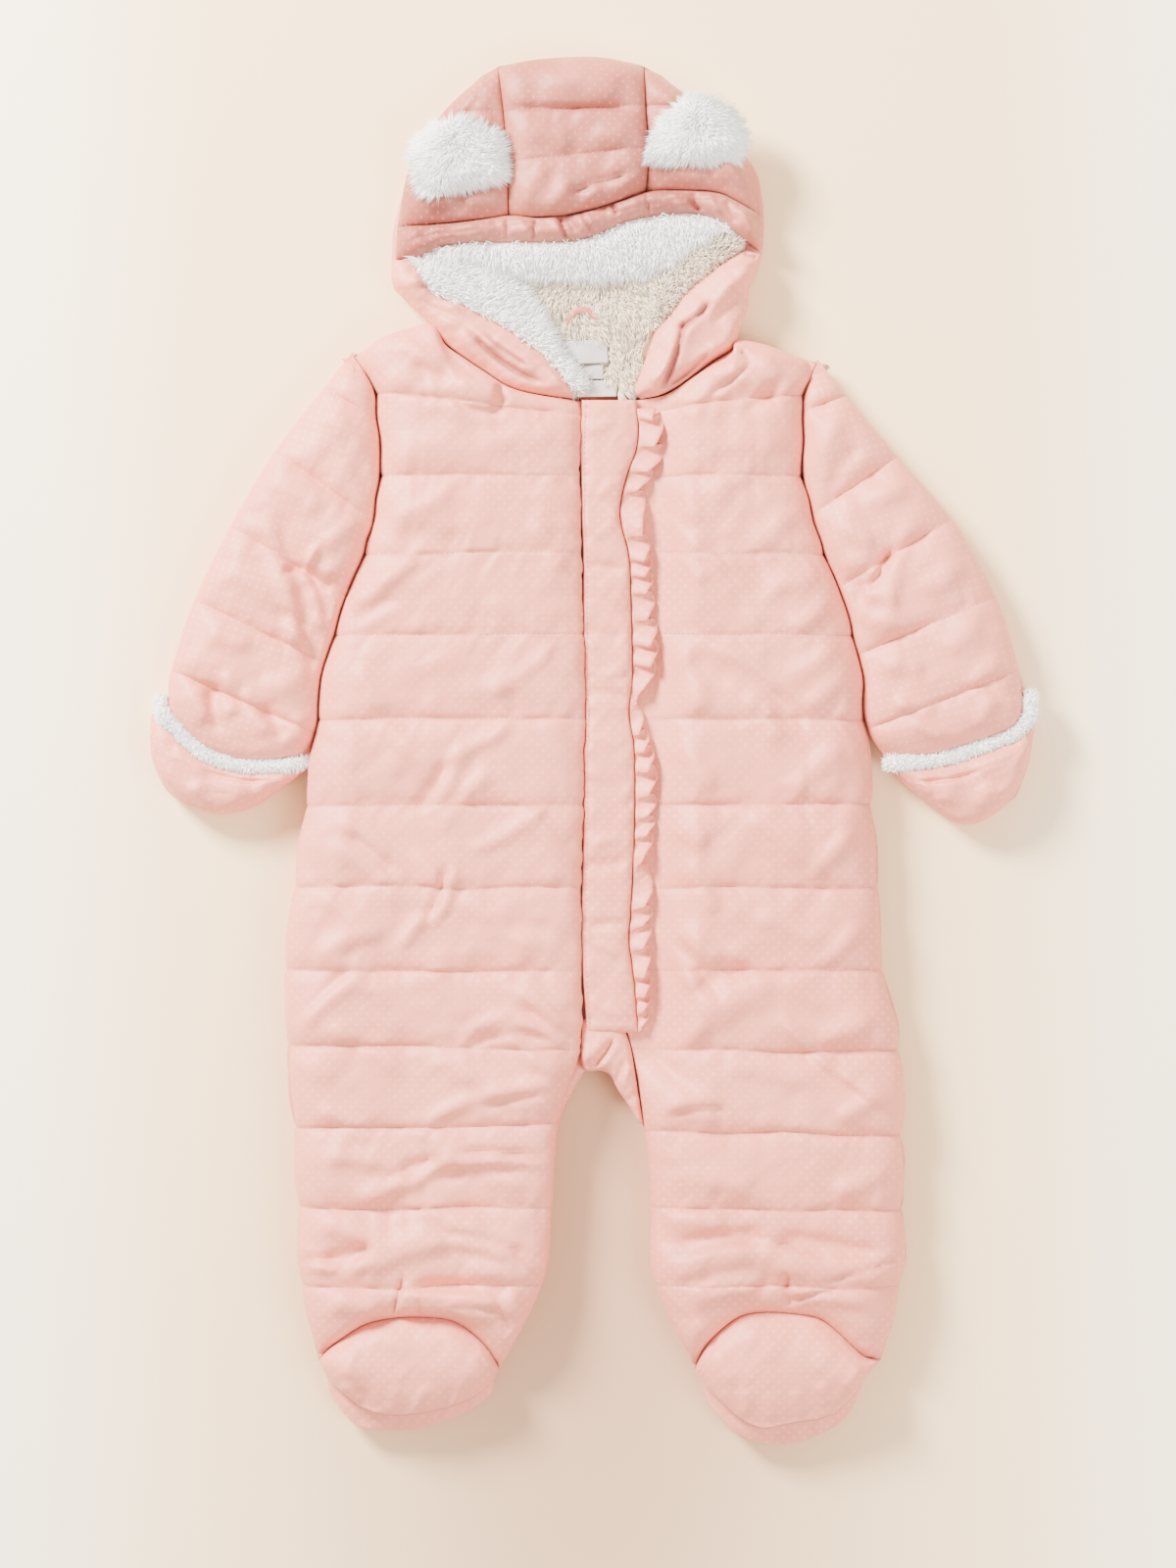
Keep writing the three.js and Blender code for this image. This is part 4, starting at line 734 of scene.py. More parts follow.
sleeves = {
    "rightRows": [[-134, 222, -112, 214], [-150, 202, -108, 176], [-177, 167, -110, 118],
                  [-202, 125, -134, 84], [-222, 84, -144, 46], [-235, 45, -151, 8]],
    "leftRows": [[126, 218, 104, 210], [141, 198, 104, 183], [170, 164, 112, 124],
                 [200, 129, 136, 90], [225, 86, 145, 52], [238, 45, 154, 12]],
    "rightTrim": [[-240, 31], [-241, 23], [-235, 15], [-227, 7], [-219, -1], [-207, -6],
                  [-194, -9], [-180, -9], [-167, -8], [-158, -6]],
    "leftTrim": [[244, 33], [244, 23], [239, 12], [228, 6], [214, 1], [199, -4], [187, -6],
                 [175, -7], [164, -7]],
    "rightMitten": {"outer": [[-246, 21], [-247, 7], [-245, -8], [-238, -22]],
                    "inner": [[-158, -8], [-164, -14], [-173, -20]],
                    "hem": [[-238, -22], [-228, -30], [-214, -35], [-203, -35], [-187, -30], [-173, -20]]},
    "leftMitten": {"outer": [[247, 20], [246, 7], [243, -9], [237, -25]],
                   "inner": [[164, -9], [168, -13], [175, -19]],
                   "hem": [[237, -25], [222, -37], [211, -41], [200, -39], [188, -30], [175, -19]]},
    "crown": 29.5,
    "rollWidth": 24,
    "quiltDepth": 4.4,
    "puckerDepth": 1.15,
    "puckerReach": 9,
    "trimWidth": 6.6,
    "lineStrengths": [1, 1.5, 1.5, 1.1, 1.2, 1.2, 1],
    "stepsPerChannel": 24,
    "columns": 64,
    "wallRings": [(-0.3, 11.5), (-0.2, 8.5), (0.5, 5.4), (1.7, 2.6), (3.1, 0.8), (4.5, 0)],  # inset, height
}

sleeveCreases = [
    [-150, 190, -128, 160, 6, 1.8, 2], [-140, 176, -122, 140, 4.5, -1.5, 2],
    [-182, 150, -150, 132, 6, 1.6, 2], [-130, 128, -150, 112, 5, 1.8, 0],
    [-136, 104, -164, 96, 5, 1.9, 3], [-142, 92, -160, 100, 3.6, -1.8, 0],
    [-206, 100, -176, 84, 6, 1.5, 2], [-148, 76, -172, 62, 5, 2.2, 3],
    [-150, 64, -176, 78, 3.6, -1.9, 0], [-214, 66, -190, 58, 5, 1.6, 0],
    [-156, 44, -184, 34, 6, 1.9, 2], [-204, 44, -202, 18, 5, 2.2, 3], [-212, 36, -208, 10, 3.8, -2, 0],
    [-194, 34, -178, 8, 4.5, 2, -2], [-184, 26, -170, 6, 3.6, -1.8, 0], [-226, 34, -214, 16, 5, 1.8, 0],
    [-164, 20, -160, 4, 4, 1.6, 0], [-174, 132, -152, 28, 4.5, -2.4, 4],
    [-184, 128, -164, 50, 5, 1.8, 4], [-160, 101, -146, 79, 2.2, -3, 1],
    [-172, 99, -158, 103, 2, -2.2, 0], [-152, 114, -160, 101, 2.4, 2, 0],
    [-150, 92, -147, 72, 3, -3.2, 0], [-162, 76, -150, 46, 2.4, -2.6, -2],
    [140, 186, 124, 160, 6, 1.7, -2], [150, 172, 128, 138, 4.5, -1.5, -2],
    [176, 146, 150, 138, 6, 1.6, 0], [132, 124, 156, 112, 5, 1.8, 2], [138, 104, 160, 98, 5, 2, 2],
    [140, 96, 150, 82, 3.6, -2, 0], [150, 88, 168, 84, 4, 1.8, 0], [206, 106, 182, 88, 6, 1.5, 2],
    [152, 70, 178, 66, 5, 1.9, 3], [216, 72, 196, 56, 6, 1.6, 0], [158, 46, 184, 44, 5, 1.8, 2],
    [226, 52, 206, 36, 5, 1.7, 2], [150, 94, 146, 74, 3, -2.8, 0], [166, 112, 152, 88, 2.4, -2.4, 1],
    [176, 128, 164, 60, 5, 1.6, -3], [166, 26, 190, 24, 5, 1.8, -2], [176, 16, 196, 6, 3.8, 1.8, 0],
    [222, 30, 214, 12, 4.5, 1.7, 0],

]


mittens = {"crown": 26.5, "rollWidth": 18, "quiltDepth": 0, "puckerDepth": 0.7, "puckerReach": 5}


# A line moved sideways by distance: each even point along the curve goes along its normal
def offsetLine(points, distance):
    u = np.linspace(0, 1, len(points))
    tangent = arcPoint(points, np.minimum(u + 1e-3, 1)) - arcPoint(points, np.maximum(u - 1e-3, 0))
    tangent /= np.linalg.norm(tangent, axis=1, keepdims=True)
    away = np.sign(points[-1][0] - points[0][0])
    return arcPoint(points, u) + np.stack([tangent[:, 1], -tangent[:, 0]], 1) * away * distance


# Straight lines from one curve to another: p = a(u) + (b(u) - a(u)) v
def planBetween(first, second, u, v):
    start, end = arcPoint(first, u)[None], arcPoint(second, u)[None]
    return start + (end - start) * np.asarray(v)[:, None, None]


# The rows of a sleeve end at the body's side: each stops where it crosses that edge
def stoppedAtBody(rows, v, u, hem, side, gap=0.5):
    fine = np.linspace(0, 1, 401)
    plan = panelPlan(rows, v, fine, hem=hem)
    edge = sideEdge[side]
    edgeX = np.interp(plan[..., 1], edge[:, 1], edge[:, 0])
    turn = -1 if side == "right" else 1
    inside = (plan[..., 0] - edgeX) * turn < gap
    share = np.where(inside.any(1), fine[np.argmax(inside, 1)], 1)
    share = np.maximum(share, 0.06)
    kernel = np.ones(7) / 7
    share = np.minimum(share, np.convolve(np.pad(share, 3, mode="edge"), kernel, "valid"))
    curve = np.asarray(u)[None] * share[:, None]
    low = np.clip((curve * 400).astype(int), 0, 399)
    w = (curve * 400 - low)[..., None]
    j = np.arange(len(v))[:, None]
    return plan[j, low] * (1 - w) + plan[j, low + 1] * w


# A sleeve: quilted rows from the shoulder to the cuff that end at the body's side
def makeSleeve(side, rows, trim, material, seed):
    cuff = offsetLine(trim, -sleeves["trimWidth"] / 2 - seamGap / 2)
    rows = rows + [[*cuff[0], *cuff[-1]]]
    channels = len(rows) - 1
    v, u = channelRows(channels, sleeves["stepsPerChannel"]), places(sleeves["columns"], 0.5)
    plan = stoppedAtBody(rows, v, u, cuff, side)
    edges = (14, 16, 14, 17)
    height = quiltHeight(plan, v, channels, sleeves["crown"], edges, sleeves, seed, sleeveCreases)[0]
    keepStitches(plan, height, sleeves["stepsPerChannel"], channels)
    return sewPanel("sleeve_cloth_" + side, "sleeve_" + side, plan, height, sleeves["wallRings"], 0, 0,
                    material)


pileBeds = {}  # surfaces that pile grows on: arrays of points, in mm


# Bed of a mitten's trim: a sine across, rolled down at its ends
def makeTrim(side, line):
    half = sleeves["trimWidth"] / 2
    u, v = places(90, 0.3), np.linspace(0, 1, 9)
    plan = planBetween(offsetLine(line, -half), offsetLine(line, half), u, v)
    ends = rollOver(fromColumns(plan), 16)
    height = 12.5 + (6.5 + 4 * np.sin(np.pi * v)[:, None]) * ends
    points, faces = closedPanel(plan, height, [(0.1, 8), (0.6, 3), (1.4, 0)], lengthwise=True)
    piece = makePiece("cuff_band_" + side, points, faces, whitePile, {"length": np.full(len(points), 0.5)})
    pileBeds["cuff_" + side] = np.dstack([plan, height])
    return settle(piece, "trim", "cuff_trim_" + side)


# A mitten between the trim's line and its hem: a puffed upper panel on a flat lower one
def makeMitten(side, line, rim, material, seed):
    mouth = np.vstack([rim["outer"][0], offsetLine(line, sleeves["trimWidth"] / 2 + seamGap / 2)[2:]])
    outer = np.asarray(rim["outer"], float)
    inner = curvePoint(rim["inner"], np.linspace(0, 1, len(outer)))
    rows = np.hstack([outer, inner])
    rows[0] = [*mouth[0], *mouth[-1]]
    channels = len(rows) - 1
    v, u = channelRows(channels, 14, 0.1), places(56, 0.6)
    plan = panelPlan(rows, v, u, mouth, rim["hem"], reach=2.5)
    turn = -1 if side == "right" else 1
    creases = [[turn * 216, -11, turn * 180, -17, 1.3, -1.6, turn * 2],
               [turn * 232, 2, turn * 214, -12, 5, 1.4, 0], [turn * 200, -14, turn * 196, -30, 5, 1.2, 1],
               [turn * 182, -14, turn * 186, -26, 3.5, 1.2, 0], [turn * 222, -18, turn * 214, -32, 4, 1.2, 0]]
    height = quiltHeight(plan, v, channels, mittens["crown"], (13, 13, 20, 13), mittens, seed, creases)[0]
    sewPanel("mitten_top_" + side, f"mitten_{side}_front", plan, height,
             [(0.1, frontFloor + 0.3), (0.5, frontFloor)], 0, 0.12, material)
    v, u = channelRows(channels, 5, 0.1), places(20, 0.6)
    plan = panelPlan(rows, v, u, mouth, rim["hem"], reach=2.5)
    rings = [(0.0, 10.4), (-0.4, 8.2), (-0.1, 5.6), (0.9, 2.8), (2.2, 0.9), (4, 0)]
    sewPanel("mitten_under_" + side, f"mitten_{side}_back", plan, np.full(plan.shape[:2], backTop), rings,
             0, 0, material)


makeSleeve("right", sleeves["rightRows"], sleeves["rightTrim"], rightSleeveCloth, 41)
makeSleeve("left", sleeves["leftRows"], sleeves["leftTrim"], leftSleeveCloth, 43)
makeTrim("right", sleeves["rightTrim"])
makeTrim("left", sleeves["leftTrim"])
makeMitten("right", sleeves["rightTrim"], sleeves["rightMitten"], rightSleeveCloth, 47)
makeMitten("left", sleeves["leftTrim"], sleeves["leftMitten"], leftSleeveCloth, 53)
print("sleeves and mittens made")


# Feet: a toe cap on top and a sole at its end

feet = {
    "rightEnd": [[-147, -358], [-138, -371], [-127, -378], [-105, -379], [-88, -376], [-70, -369],
                 [-56, -359]],
    "leftEnd": [[149, -359], [141, -373], [128, -381], [114, -386], [102, -387], [88, -385],
                [77, -378], [64, -363]],
    "capRise": 13,
}
footCreases = [
    [-140, -352, -128, -362, 3, 2, 0], [-130, -354, -120, -368, 3, -1.6, 0],
    [-122, -322, -100, -334, 6, 1.2, 0], [-98, -366, -92, -352, 3, 1.2, 0],
    [-84, -320, -72, -340, 6, 1.3, 2], [-66, -334, -62, -350, 4, 1.3, 0],
    [-112, -368, -108, -352, 3, 1.1, 0], [-132, -332, -136, -348, 4, 1.3, 0],
    [100, -372, 96, -356, 3, 1.3, 0], [116, -370, 112, -354, 3, 1.2, 0],
    [86, -370, 84, -354, 3, 1.4, 0], [130, -364, 126, -350, 3, 1.3, 0],
    [84, -322, 104, -336, 6, 1.3, 2], [134, -328, 124, -346, 5, 1.3, 0],
    [68, -332, 76, -352, 5, 1.3, 0], [148, -342, 140, -354, 4, 1.3, 0],

]


# Toe cap: from the seam valley it rises as a sine along the foot and rolls down at both sides
def makeFoot(side, arc, soleSeam, end, seed):
    u, v = places(84, 0.5), places(44, 0.35)
    plan = planBetween(arc, soleSeam, u, v)
    x, y = plan[..., 0], plan[..., 1]
    along = v[:, None]
    sideRoll = rollOver(fromColumns(plan), 20)
    rise = np.sin(np.pi * (0.12 + 0.8 * along)) * rollOver(along, 0.22)
    height = 13.5 + (6 + feet["capRise"] * rise) * sideRoll
    fromSeam = distanceTo(plan, plan[:1])
    fromSole = distanceTo(plan, plan[-1:])
    run = runAlong(plan)
    ripple = softNoise(run, y * 0, 5.5, seed) + 0.5 * softNoise(run, y * 0 + 4, 3.2, seed + 1)
    puckers = 0.85 * ripple * (np.exp(-fromSeam / 6) + 1.8 * np.exp(-fromSole / 8))
    calm = 0.9 * softNoise(x + 0.4 * y, y, 20, seed + 2) + 0.4 * softNoise(x, y - x, 8, seed + 3)
    inside = np.clip(np.minimum(fromSeam, fromSole) / 2.5, 0, 1) * np.clip(sideRoll * 2 - 0.4, 0, 1)
    height = height + (puckers + calm + creaseHeight(x, y, footCreases)) * inside
    # Painted shade along the sole seam and the cap's seam
    seam = 0.5 * np.exp(-(fromSole / 0.8) ** 2) + 0.4 * np.exp(-(fromSeam / 0.7) ** 2)
    sewPanel("toe_cloth_" + side, "toe_cap_" + side, plan, height,
             [(0.1, frontFloor + 0.3), (0.5, frontFloor)], seam, 0.3, lengthwise=True)
    u, v = places(72, 0.5), places(16, 0.3)
    inner = plan[-1] - [0, seamGap]
    outerEnd = arcPoint(end, u)
    start = arcPoint(inner, u)
    plan = start[None] + (outerEnd - start)[None] * v[:, None, None]
    hump = 2 * np.sqrt(np.clip(u * (1 - u), 0, 1))[None]
    height = 11 + 8 * hump * (1 - 2 * v[:, None] / 3)
    run = runAlong(plan)
    ripple = softNoise(run, run * 0, 5, seed + 5) + 0.5 * softNoise(run, run * 0, 2.8, seed + 6)
    height = height + 0.95 * ripple * np.sin(np.pi * v[:, None]) * np.clip(hump * 2, 0, 1)
    sewPanel("sole_cloth_" + side, "sole_" + side, plan, height,
             [(-0.2, 7), (0, 4), (0.5, 1.6), (0.9, 0)], wall=0, lengthwise=True)


makeFoot("right", body["rightToeArc"], body["rightSole"], feet["rightEnd"], 61)
makeFoot("left", body["leftToeArc"], body["leftSole"], feet["leftEnd"], 67)
print("feet made")


# Placket, its gathered frill, the gusset and the zip under them

placket = {
    "rows": [  # leftX rightX y
        [-6, 24, 195], [-7, 25, 172], [-6, 18, 150], [-6, 15, 131], [-5, 20, 108], [-5, 21, 87],
        [-5, 22, 43], [-4, 20, 21], [-5, 23, -1], [-5, 23, -45], [-6, 21, -89], [-6, 20, -106],
        [-5, 23, -130], [-3, 25, -157],
    ],
    "floor": 17.5,
    "thickness": 6.4,
    "edgeRound": 6,
    "creases": [  # x1 y1 x2 y2 width height bend
        [-4, 101, 18, 99, 3.2, -1.7, 2], [2, 94, 16, 82, 3, 1.2, 0], [-4, 65, 16, 62, 3.4, -1.2, 1],
        [-4, 32, 20, 28, 3.4, -1.6, 2], [4, 40, 18, 46, 3, 1.1, 0], [-3, -19, 20, -22, 4, -1, 0],
        [-4, -63, 20, -60, 3.4, -1.5, -2], [0, -52, 16, -48, 3, 1.1, 0],
        [-4, -100, 18, -97, 3.2, -1.7, 2], [0, -106, 16, -114, 3, 1.3, 0],
        [-2, -140, 18, -148, 3.5, 1.3, 0], [2, 140, 12, 150, 3, 1.1, 0], [-4, 176, 14, 184, 4, 1, 0],
        [2, 118, 12, 126, 3, 1, 0], [0, 8, 18, 2, 3.5, 1, 0],

    ],
}
frill = {
    "reach": [[32, 190], [36, 180], [35, 162], [26, 144], [28, 122], [31, 86], [33, 50], [26, 30],
              [25, 17], [32, -10], [31, -45], [28, -61], [30, -80], [29, -109], [29, -135], [27, -154]],
    "waves": 25,
    "rise": 7.8,
    "spread": 1.4,
    "overhang": 3.7,
    "wall": 0.9,
    "stepsPerWave": 22,
    "flat": (0.0101, 0.488),
}
gusset = {
    "upper": [[-5.6, -150], [0, -148], [8.6, -148], [15.6, -152], [19.6, -160], [21.8, -168],
              [24.6, -185], [28.2, -207]],
    "lower": [[-6.4, -172], [-4, -178.5], [4, -178.5], [10, -181], [13, -187], [16, -192],
              [19.5, -197], [26.2, -208]],
    "creases": [[12, -160, 0, -177, 1.5, -3.4, 0.8], [7, -158, -3, -172, 2.6, 1.8, 0],
                [15, -162, 5, -178, 2.6, 1.6, 0], [18, -172, 12, -188, 1.8, -1.8, 0],
                [22, -174, 16, -188, 2.2, 1.5, 0], [-3, -162, -4, -175, 2, 1.3, 0],
                [25, -190, 20, -196, 2, -1.3, 0]],
}


# Placket: floor + thickness * (0.42 + 0.58 edge), where edge is a quarter round at its rim
def makePlacket():
    rows = [[left, y, right, y] for left, right, y in placket["rows"]]
    v, u = np.linspace(0, 1, 401), places(24, 0.5)
    plan = panelPlan(rows, v, u)
    rail = curvePoint(np.asarray(body["rightRows"], float)[:, 2:], np.linspace(0, 1, 400))
    railX = np.interp(plan[..., 1], rail[::-1, 1], rail[::-1, 0])
    column = np.arange(25)
    nearest = railX + seamWobble(plan[..., 1]) * np.exp(-column / 3) + 0.12 + 0.02 * column
    plan[..., 0] = np.maximum(plan[..., 0], nearest)
    x, y = plan[..., 0], plan[..., 1]
    side = fromColumns(plan)
    ends = fromRows(plan)
    edge = rollOver(side, placket["edgeRound"]) * rollOver(ends, 5)
    ripple = softNoise(y + 0.5 * x, x * 0 + (x > 8) * 5, 6.5, 71) + 0.5 * softNoise(y, x * 0 + 2, 3.4, 72)
    puckers = 1.15 * ripple * np.exp(-((side - 2.5) / 3.5) ** 2)
    calm = 0.7 * softNoise(x * 1.4, y, 17, 73) + 0.35 * softNoise(x, y - x, 7, 74)
    height = placket["floor"] + placket["thickness"] * (0.42 + 0.58 * edge)
    relief = puckers + calm + creaseHeight(x, y, placket["creases"])
    height = height + relief * np.clip(edge * 1.6 - 0.3, 0, 1)
    # Painted shade along the placket's stitched line
    seam = np.exp(-((x - plan[:, :1, 0] - 1.6) / 0.5) ** 2) * 0.45
    stitchLines.append(np.column_stack([plan[4:-4, 3], height[4:-4, 3]]))
    return sewPanel("placket_cloth", "placket", plan, height,
                    [(0.1, placket["floor"] + 0.3), (0.3, placket["floor"])], seam)


# A grid of points given a wall: both faces stand half the wall off along the normals
def thickSheet(grid, wall):
    rows, columns = grid.shape[:2]
    normal = np.cross(np.gradient(grid, axis=0), np.gradient(grid, axis=1))
    normal /= np.linalg.norm(normal, axis=2, keepdims=True) + 1e-12
    half = normal * wall / 2
    points = np.concatenate([(grid + half).reshape(-1, 3), (grid - half).reshape(-1, 3)])
    count = rows * columns
    rim = rimNumbers(rows, columns)
    skirt = np.stack([rim, rim + count, np.roll(rim, -1) + count, np.roll(rim, -1)], -1)
    return points, [gridFaces(rows, columns), gridFaces(rows, columns, count)[:, ::-1], skirt]


# Frill: a strip whose free edge runs in meanders, so that its folds lean over each other:
# y swings to and fro while z rises and falls, which makes each fold lean over the next
def makeFrill():
    look = frill
    root = [[right + 0.8, min(y, look["reach"][0][1])] for _, right, y in placket["rows"]]
    s, t = np.linspace(0, 1, look["waves"] * look["stepsPerWave"] + 1), np.linspace(0, 1, 10)
    start, end = arcPoint(root, s)[:, None], arcPoint(look["reach"], s)[:, None] + [look["spread"], 0]
    wander = s + 0.014 * np.sin(2 * np.pi * 3.3 * s) + 0.009 * np.sin(2 * np.pi * 7.1 * s + 1)
    turn = 2 * np.pi * look["waves"] * wander
    uneven = 0.78 + 0.22 * np.sin(2 * np.pi * 5.7 * s) + 0.15 * softNoise(s * 60, s * 0, 1, 81)
    wave = (1 - np.cos(turn)) / 2
    opened = t[None] ** 0.8
    flat = start + (end - start) * t[None, :, None]
    along = (np.gradient(start[:, 0], axis=0)[:, None])
    along = along / np.linalg.norm(along, axis=-1, keepdims=True)
    swing = look["overhang"] * uneven[:, None] * (0.3 * np.sin(2 * turn) - np.cos(turn))[:, None] * opened
    reachOut = 2.4 * np.sin(turn + 0.8)[:, None] * opened ** 2
    flat = flat + along * swing[..., None] + np.array([1.0, 0.0]) * reachOut[..., None]
    z = placket["floor"] + 0.9 + 1.3 * (1 - t[None])
    z = z + look["rise"] * (uneven * wave)[:, None] * (0.2 + 0.8 * t[None])
    z = z + 0.5 * softNoise(s[:, None] * 300, t[None] * 3 + s[:, None] * 9, 1, 83) * t[None]
    grid = np.dstack([flat, z])
    points, faces = thickSheet(grid, look["wall"])
    # Painted shade along a line near the free edge
    hem = np.broadcast_to(np.exp(-((t - 0.86) / 0.05) ** 2) * 0.35, grid.shape[:2]).ravel()
    piece = makePiece("frill_cloth", points, faces, bodyCloth, {"seam": np.concatenate([hem, hem])})
    width = distanceTo(grid[:, 1:], grid[:, :-1]).sum(1).mean()
    length = distanceTo(grid[1:], grid[:-1]).sum(0).mean()
    print(f"frill is {width:.1f} mm wide and {length:.0f} mm long laid flat")
    return settle(piece, "shell", "placket_frill")


# Gusset: 16.2 mm + 6 mm times the quarter rounds at its seams and at its ends
def makeGusset():
    u, v = places(48, 0.4), places(24, 0.5)
    plan = planBetween(gusset["upper"], gusset["lower"], u, v)
    side = fromRows(plan)
    ends = fromColumns(plan)
    height = 16.2 + 6 * rollOver(side, 9) * rollOver(ends + 2, 9)
    x, y = plan[..., 0], plan[..., 1]
    height = height + creaseHeight(x, y, gusset["creases"]) + 0.5 * softNoise(x, y, 5, 91)
    height = np.maximum(height, 12.6)
    return sewPanel("gusset_cloth", "gusset", plan, height, [(0.1, frontFloor + 0.2), (0.3, frontFloor)],
                    lengthwise=True)


makePlacket()
makeFrill()
makeGusset()
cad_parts["zip"].material_slots[0].material = zipTape
print("placket, frill and gusset made")


# Hood: back, lining, three crown panels, bands round the face opening

hood = {
    "outline": [[-88.5, 239], [-92, 243], [-99, 248], [-108, 255], [-112, 262], [-112, 287], [-109, 302],
                [-104, 319], [-97, 338], [-83, 356], [-67, 371], [-53, 382], [-28, 386], [3, 387],
                [26, 384], [39, 376], [53, 365], [72, 346], [90, 327], [95, 309], [96, 290], [94, 273],
                [88, 258], [86, 245], [81, 231], [77, 224.6], [67, 217.3], [56, 209.4], [46, 202.5],
                [37, 198.5], [23, 196.4], [8, 196.2], [-6, 196.2], [-25, 198.4], [-40, 201.4],
                [-50, 205.6], [-59, 211.8], [-71, 219.8], [-81, 227.6]],
    "backTop": 7.85,
    "liningTop": 15.85,
    "topRight": [[-62, 377], [-83, 357], [-97, 338], [-105, 319], [-110, 296]],
    "topLeft": [[39, 377], [53, 366], [73, 347], [91, 325], [95, 302]],
    "seamRight": [[-53, 382], [-49, 375], [-50, 362], [-49, 348], [-48, 333], [-46, 317], [-47, 298]],
    "seamLeft": [[29, 382], [29, 366], [31, 340], [31, 326], [30, 311]],
    "topCentre": [[-53, 382], [-28, 386], [3, 387], [29, 382]],
    "bandSeam": [[-109, 292], [-89, 293], [-68, 295], [-47, 298], [-29, 297], [-9, 299], [12, 305],
                 [30, 311], [46, 312], [68, 311], [80, 306], [94, 298]],
    "faceEdge": [[-110, 274], [-94, 275], [-85, 280], [-72, 282], [-48, 283], [-21, 283], [-8, 284],
                 [5, 288], [18, 294], [31, 297], [53, 299], [68, 296], [81, 287], [93, 279]],
    "furTopEdge": [[-100, 272], [-79, 271], [-67, 273], [-53, 268], [-32, 266], [-11, 265], [9, 265],
                   [30, 267], [45, 274], [57, 281], [66, 287], [76, 290]],
    "furRightOuter": [[-98, 262], [-87, 254], [-72, 248], [-57, 240], [-44, 233], [-32, 224],
                      [-21, 214], [-10, 199]],
    "furRightInner": [[-72, 270], [-60, 265], [-50, 261], [-41, 256], [-35, 248], [-28, 237],
                      [-24, 228], [-18, 217], [-5, 205]],
    "bandRightOuter": [[-111, 273.6], [-112, 262], [-108, 255], [-99, 246], [-91, 238.6], [-81.6, 226.8],
                       [-70.6, 218.7], [-58.7, 210.7], [-49.7, 204.7], [-39.8, 200.7], [-25, 197.8],
                       [-10, 196]],
    "bandLeftInner": [[85, 279], [68, 268], [53, 256], [43, 243], [35, 233], [30, 219], [22, 199]],
    "bandLeftOuter": [[93, 277], [94, 273], [88, 258], [86, 245], [81.4, 232], [78, 224], [66.8, 216.9],
                      [55.8, 208.9], [46, 202], [36.8, 197.9], [27, 196]],
    "sideLiningOuter": [[33, 238], [36, 258], [46, 268], [56, 278], [66, 288]],
    "sideLiningInner": [[34.5, 235], [43, 247], [52, 258.6], [67, 270.6], [82, 282.5]],
    "rollWidth": 20,
    "quiltDepth": 3.4,
    "puckerDepth": 1.2,
    "puckerReach": 8,
}
hoodCreases = [
    [-46, 357, 28, 356, 1.6, -1.6, 0], [-14.6, 308.6, 23.9, 321, 1.7, -2.2, 0],
    [-47, 327, -16, 326, 5, 1.2, 0], [-44, 342, -10, 336, 7, 1.2, 2], [0, 344, 26, 332, 6, 1.2, 0],
    [-30, 372, 16, 370, 9, 1.2, 0], [-24, 300, -12, 314, 4, 1.8, 0], [-4, 303, 4, 314, 3.6, 1.8, 0],
    [14, 308, 22, 318, 4, 1.5, 0], [-38, 302, -34, 314, 4, 1.5, 0], [-44, 320, -24, 316, 5, 1.2, 0],
    [4, 328, 28, 338, 5, -1.1, 2], [-90, 332, -70, 352, 6, 1.4, 0], [-100, 318, -84, 300, 6, 1.4, 0],
    [-64, 360, -56, 344, 5, 1.3, 0], [-72, 304, -50, 306, 5, 1.3, 0], [-92, 302, -76, 306, 4, 1.3, 0],
    [38, 362, 60, 344, 6, 1.2, 0], [40, 322, 62, 316, 5, 1.4, 0], [66, 318, 84, 326, 5, 1.4, 0],
    [72, 330, 86, 314, 5, 1.3, 0], [36, 350, 44, 336, 4, 1.2, 0],

]
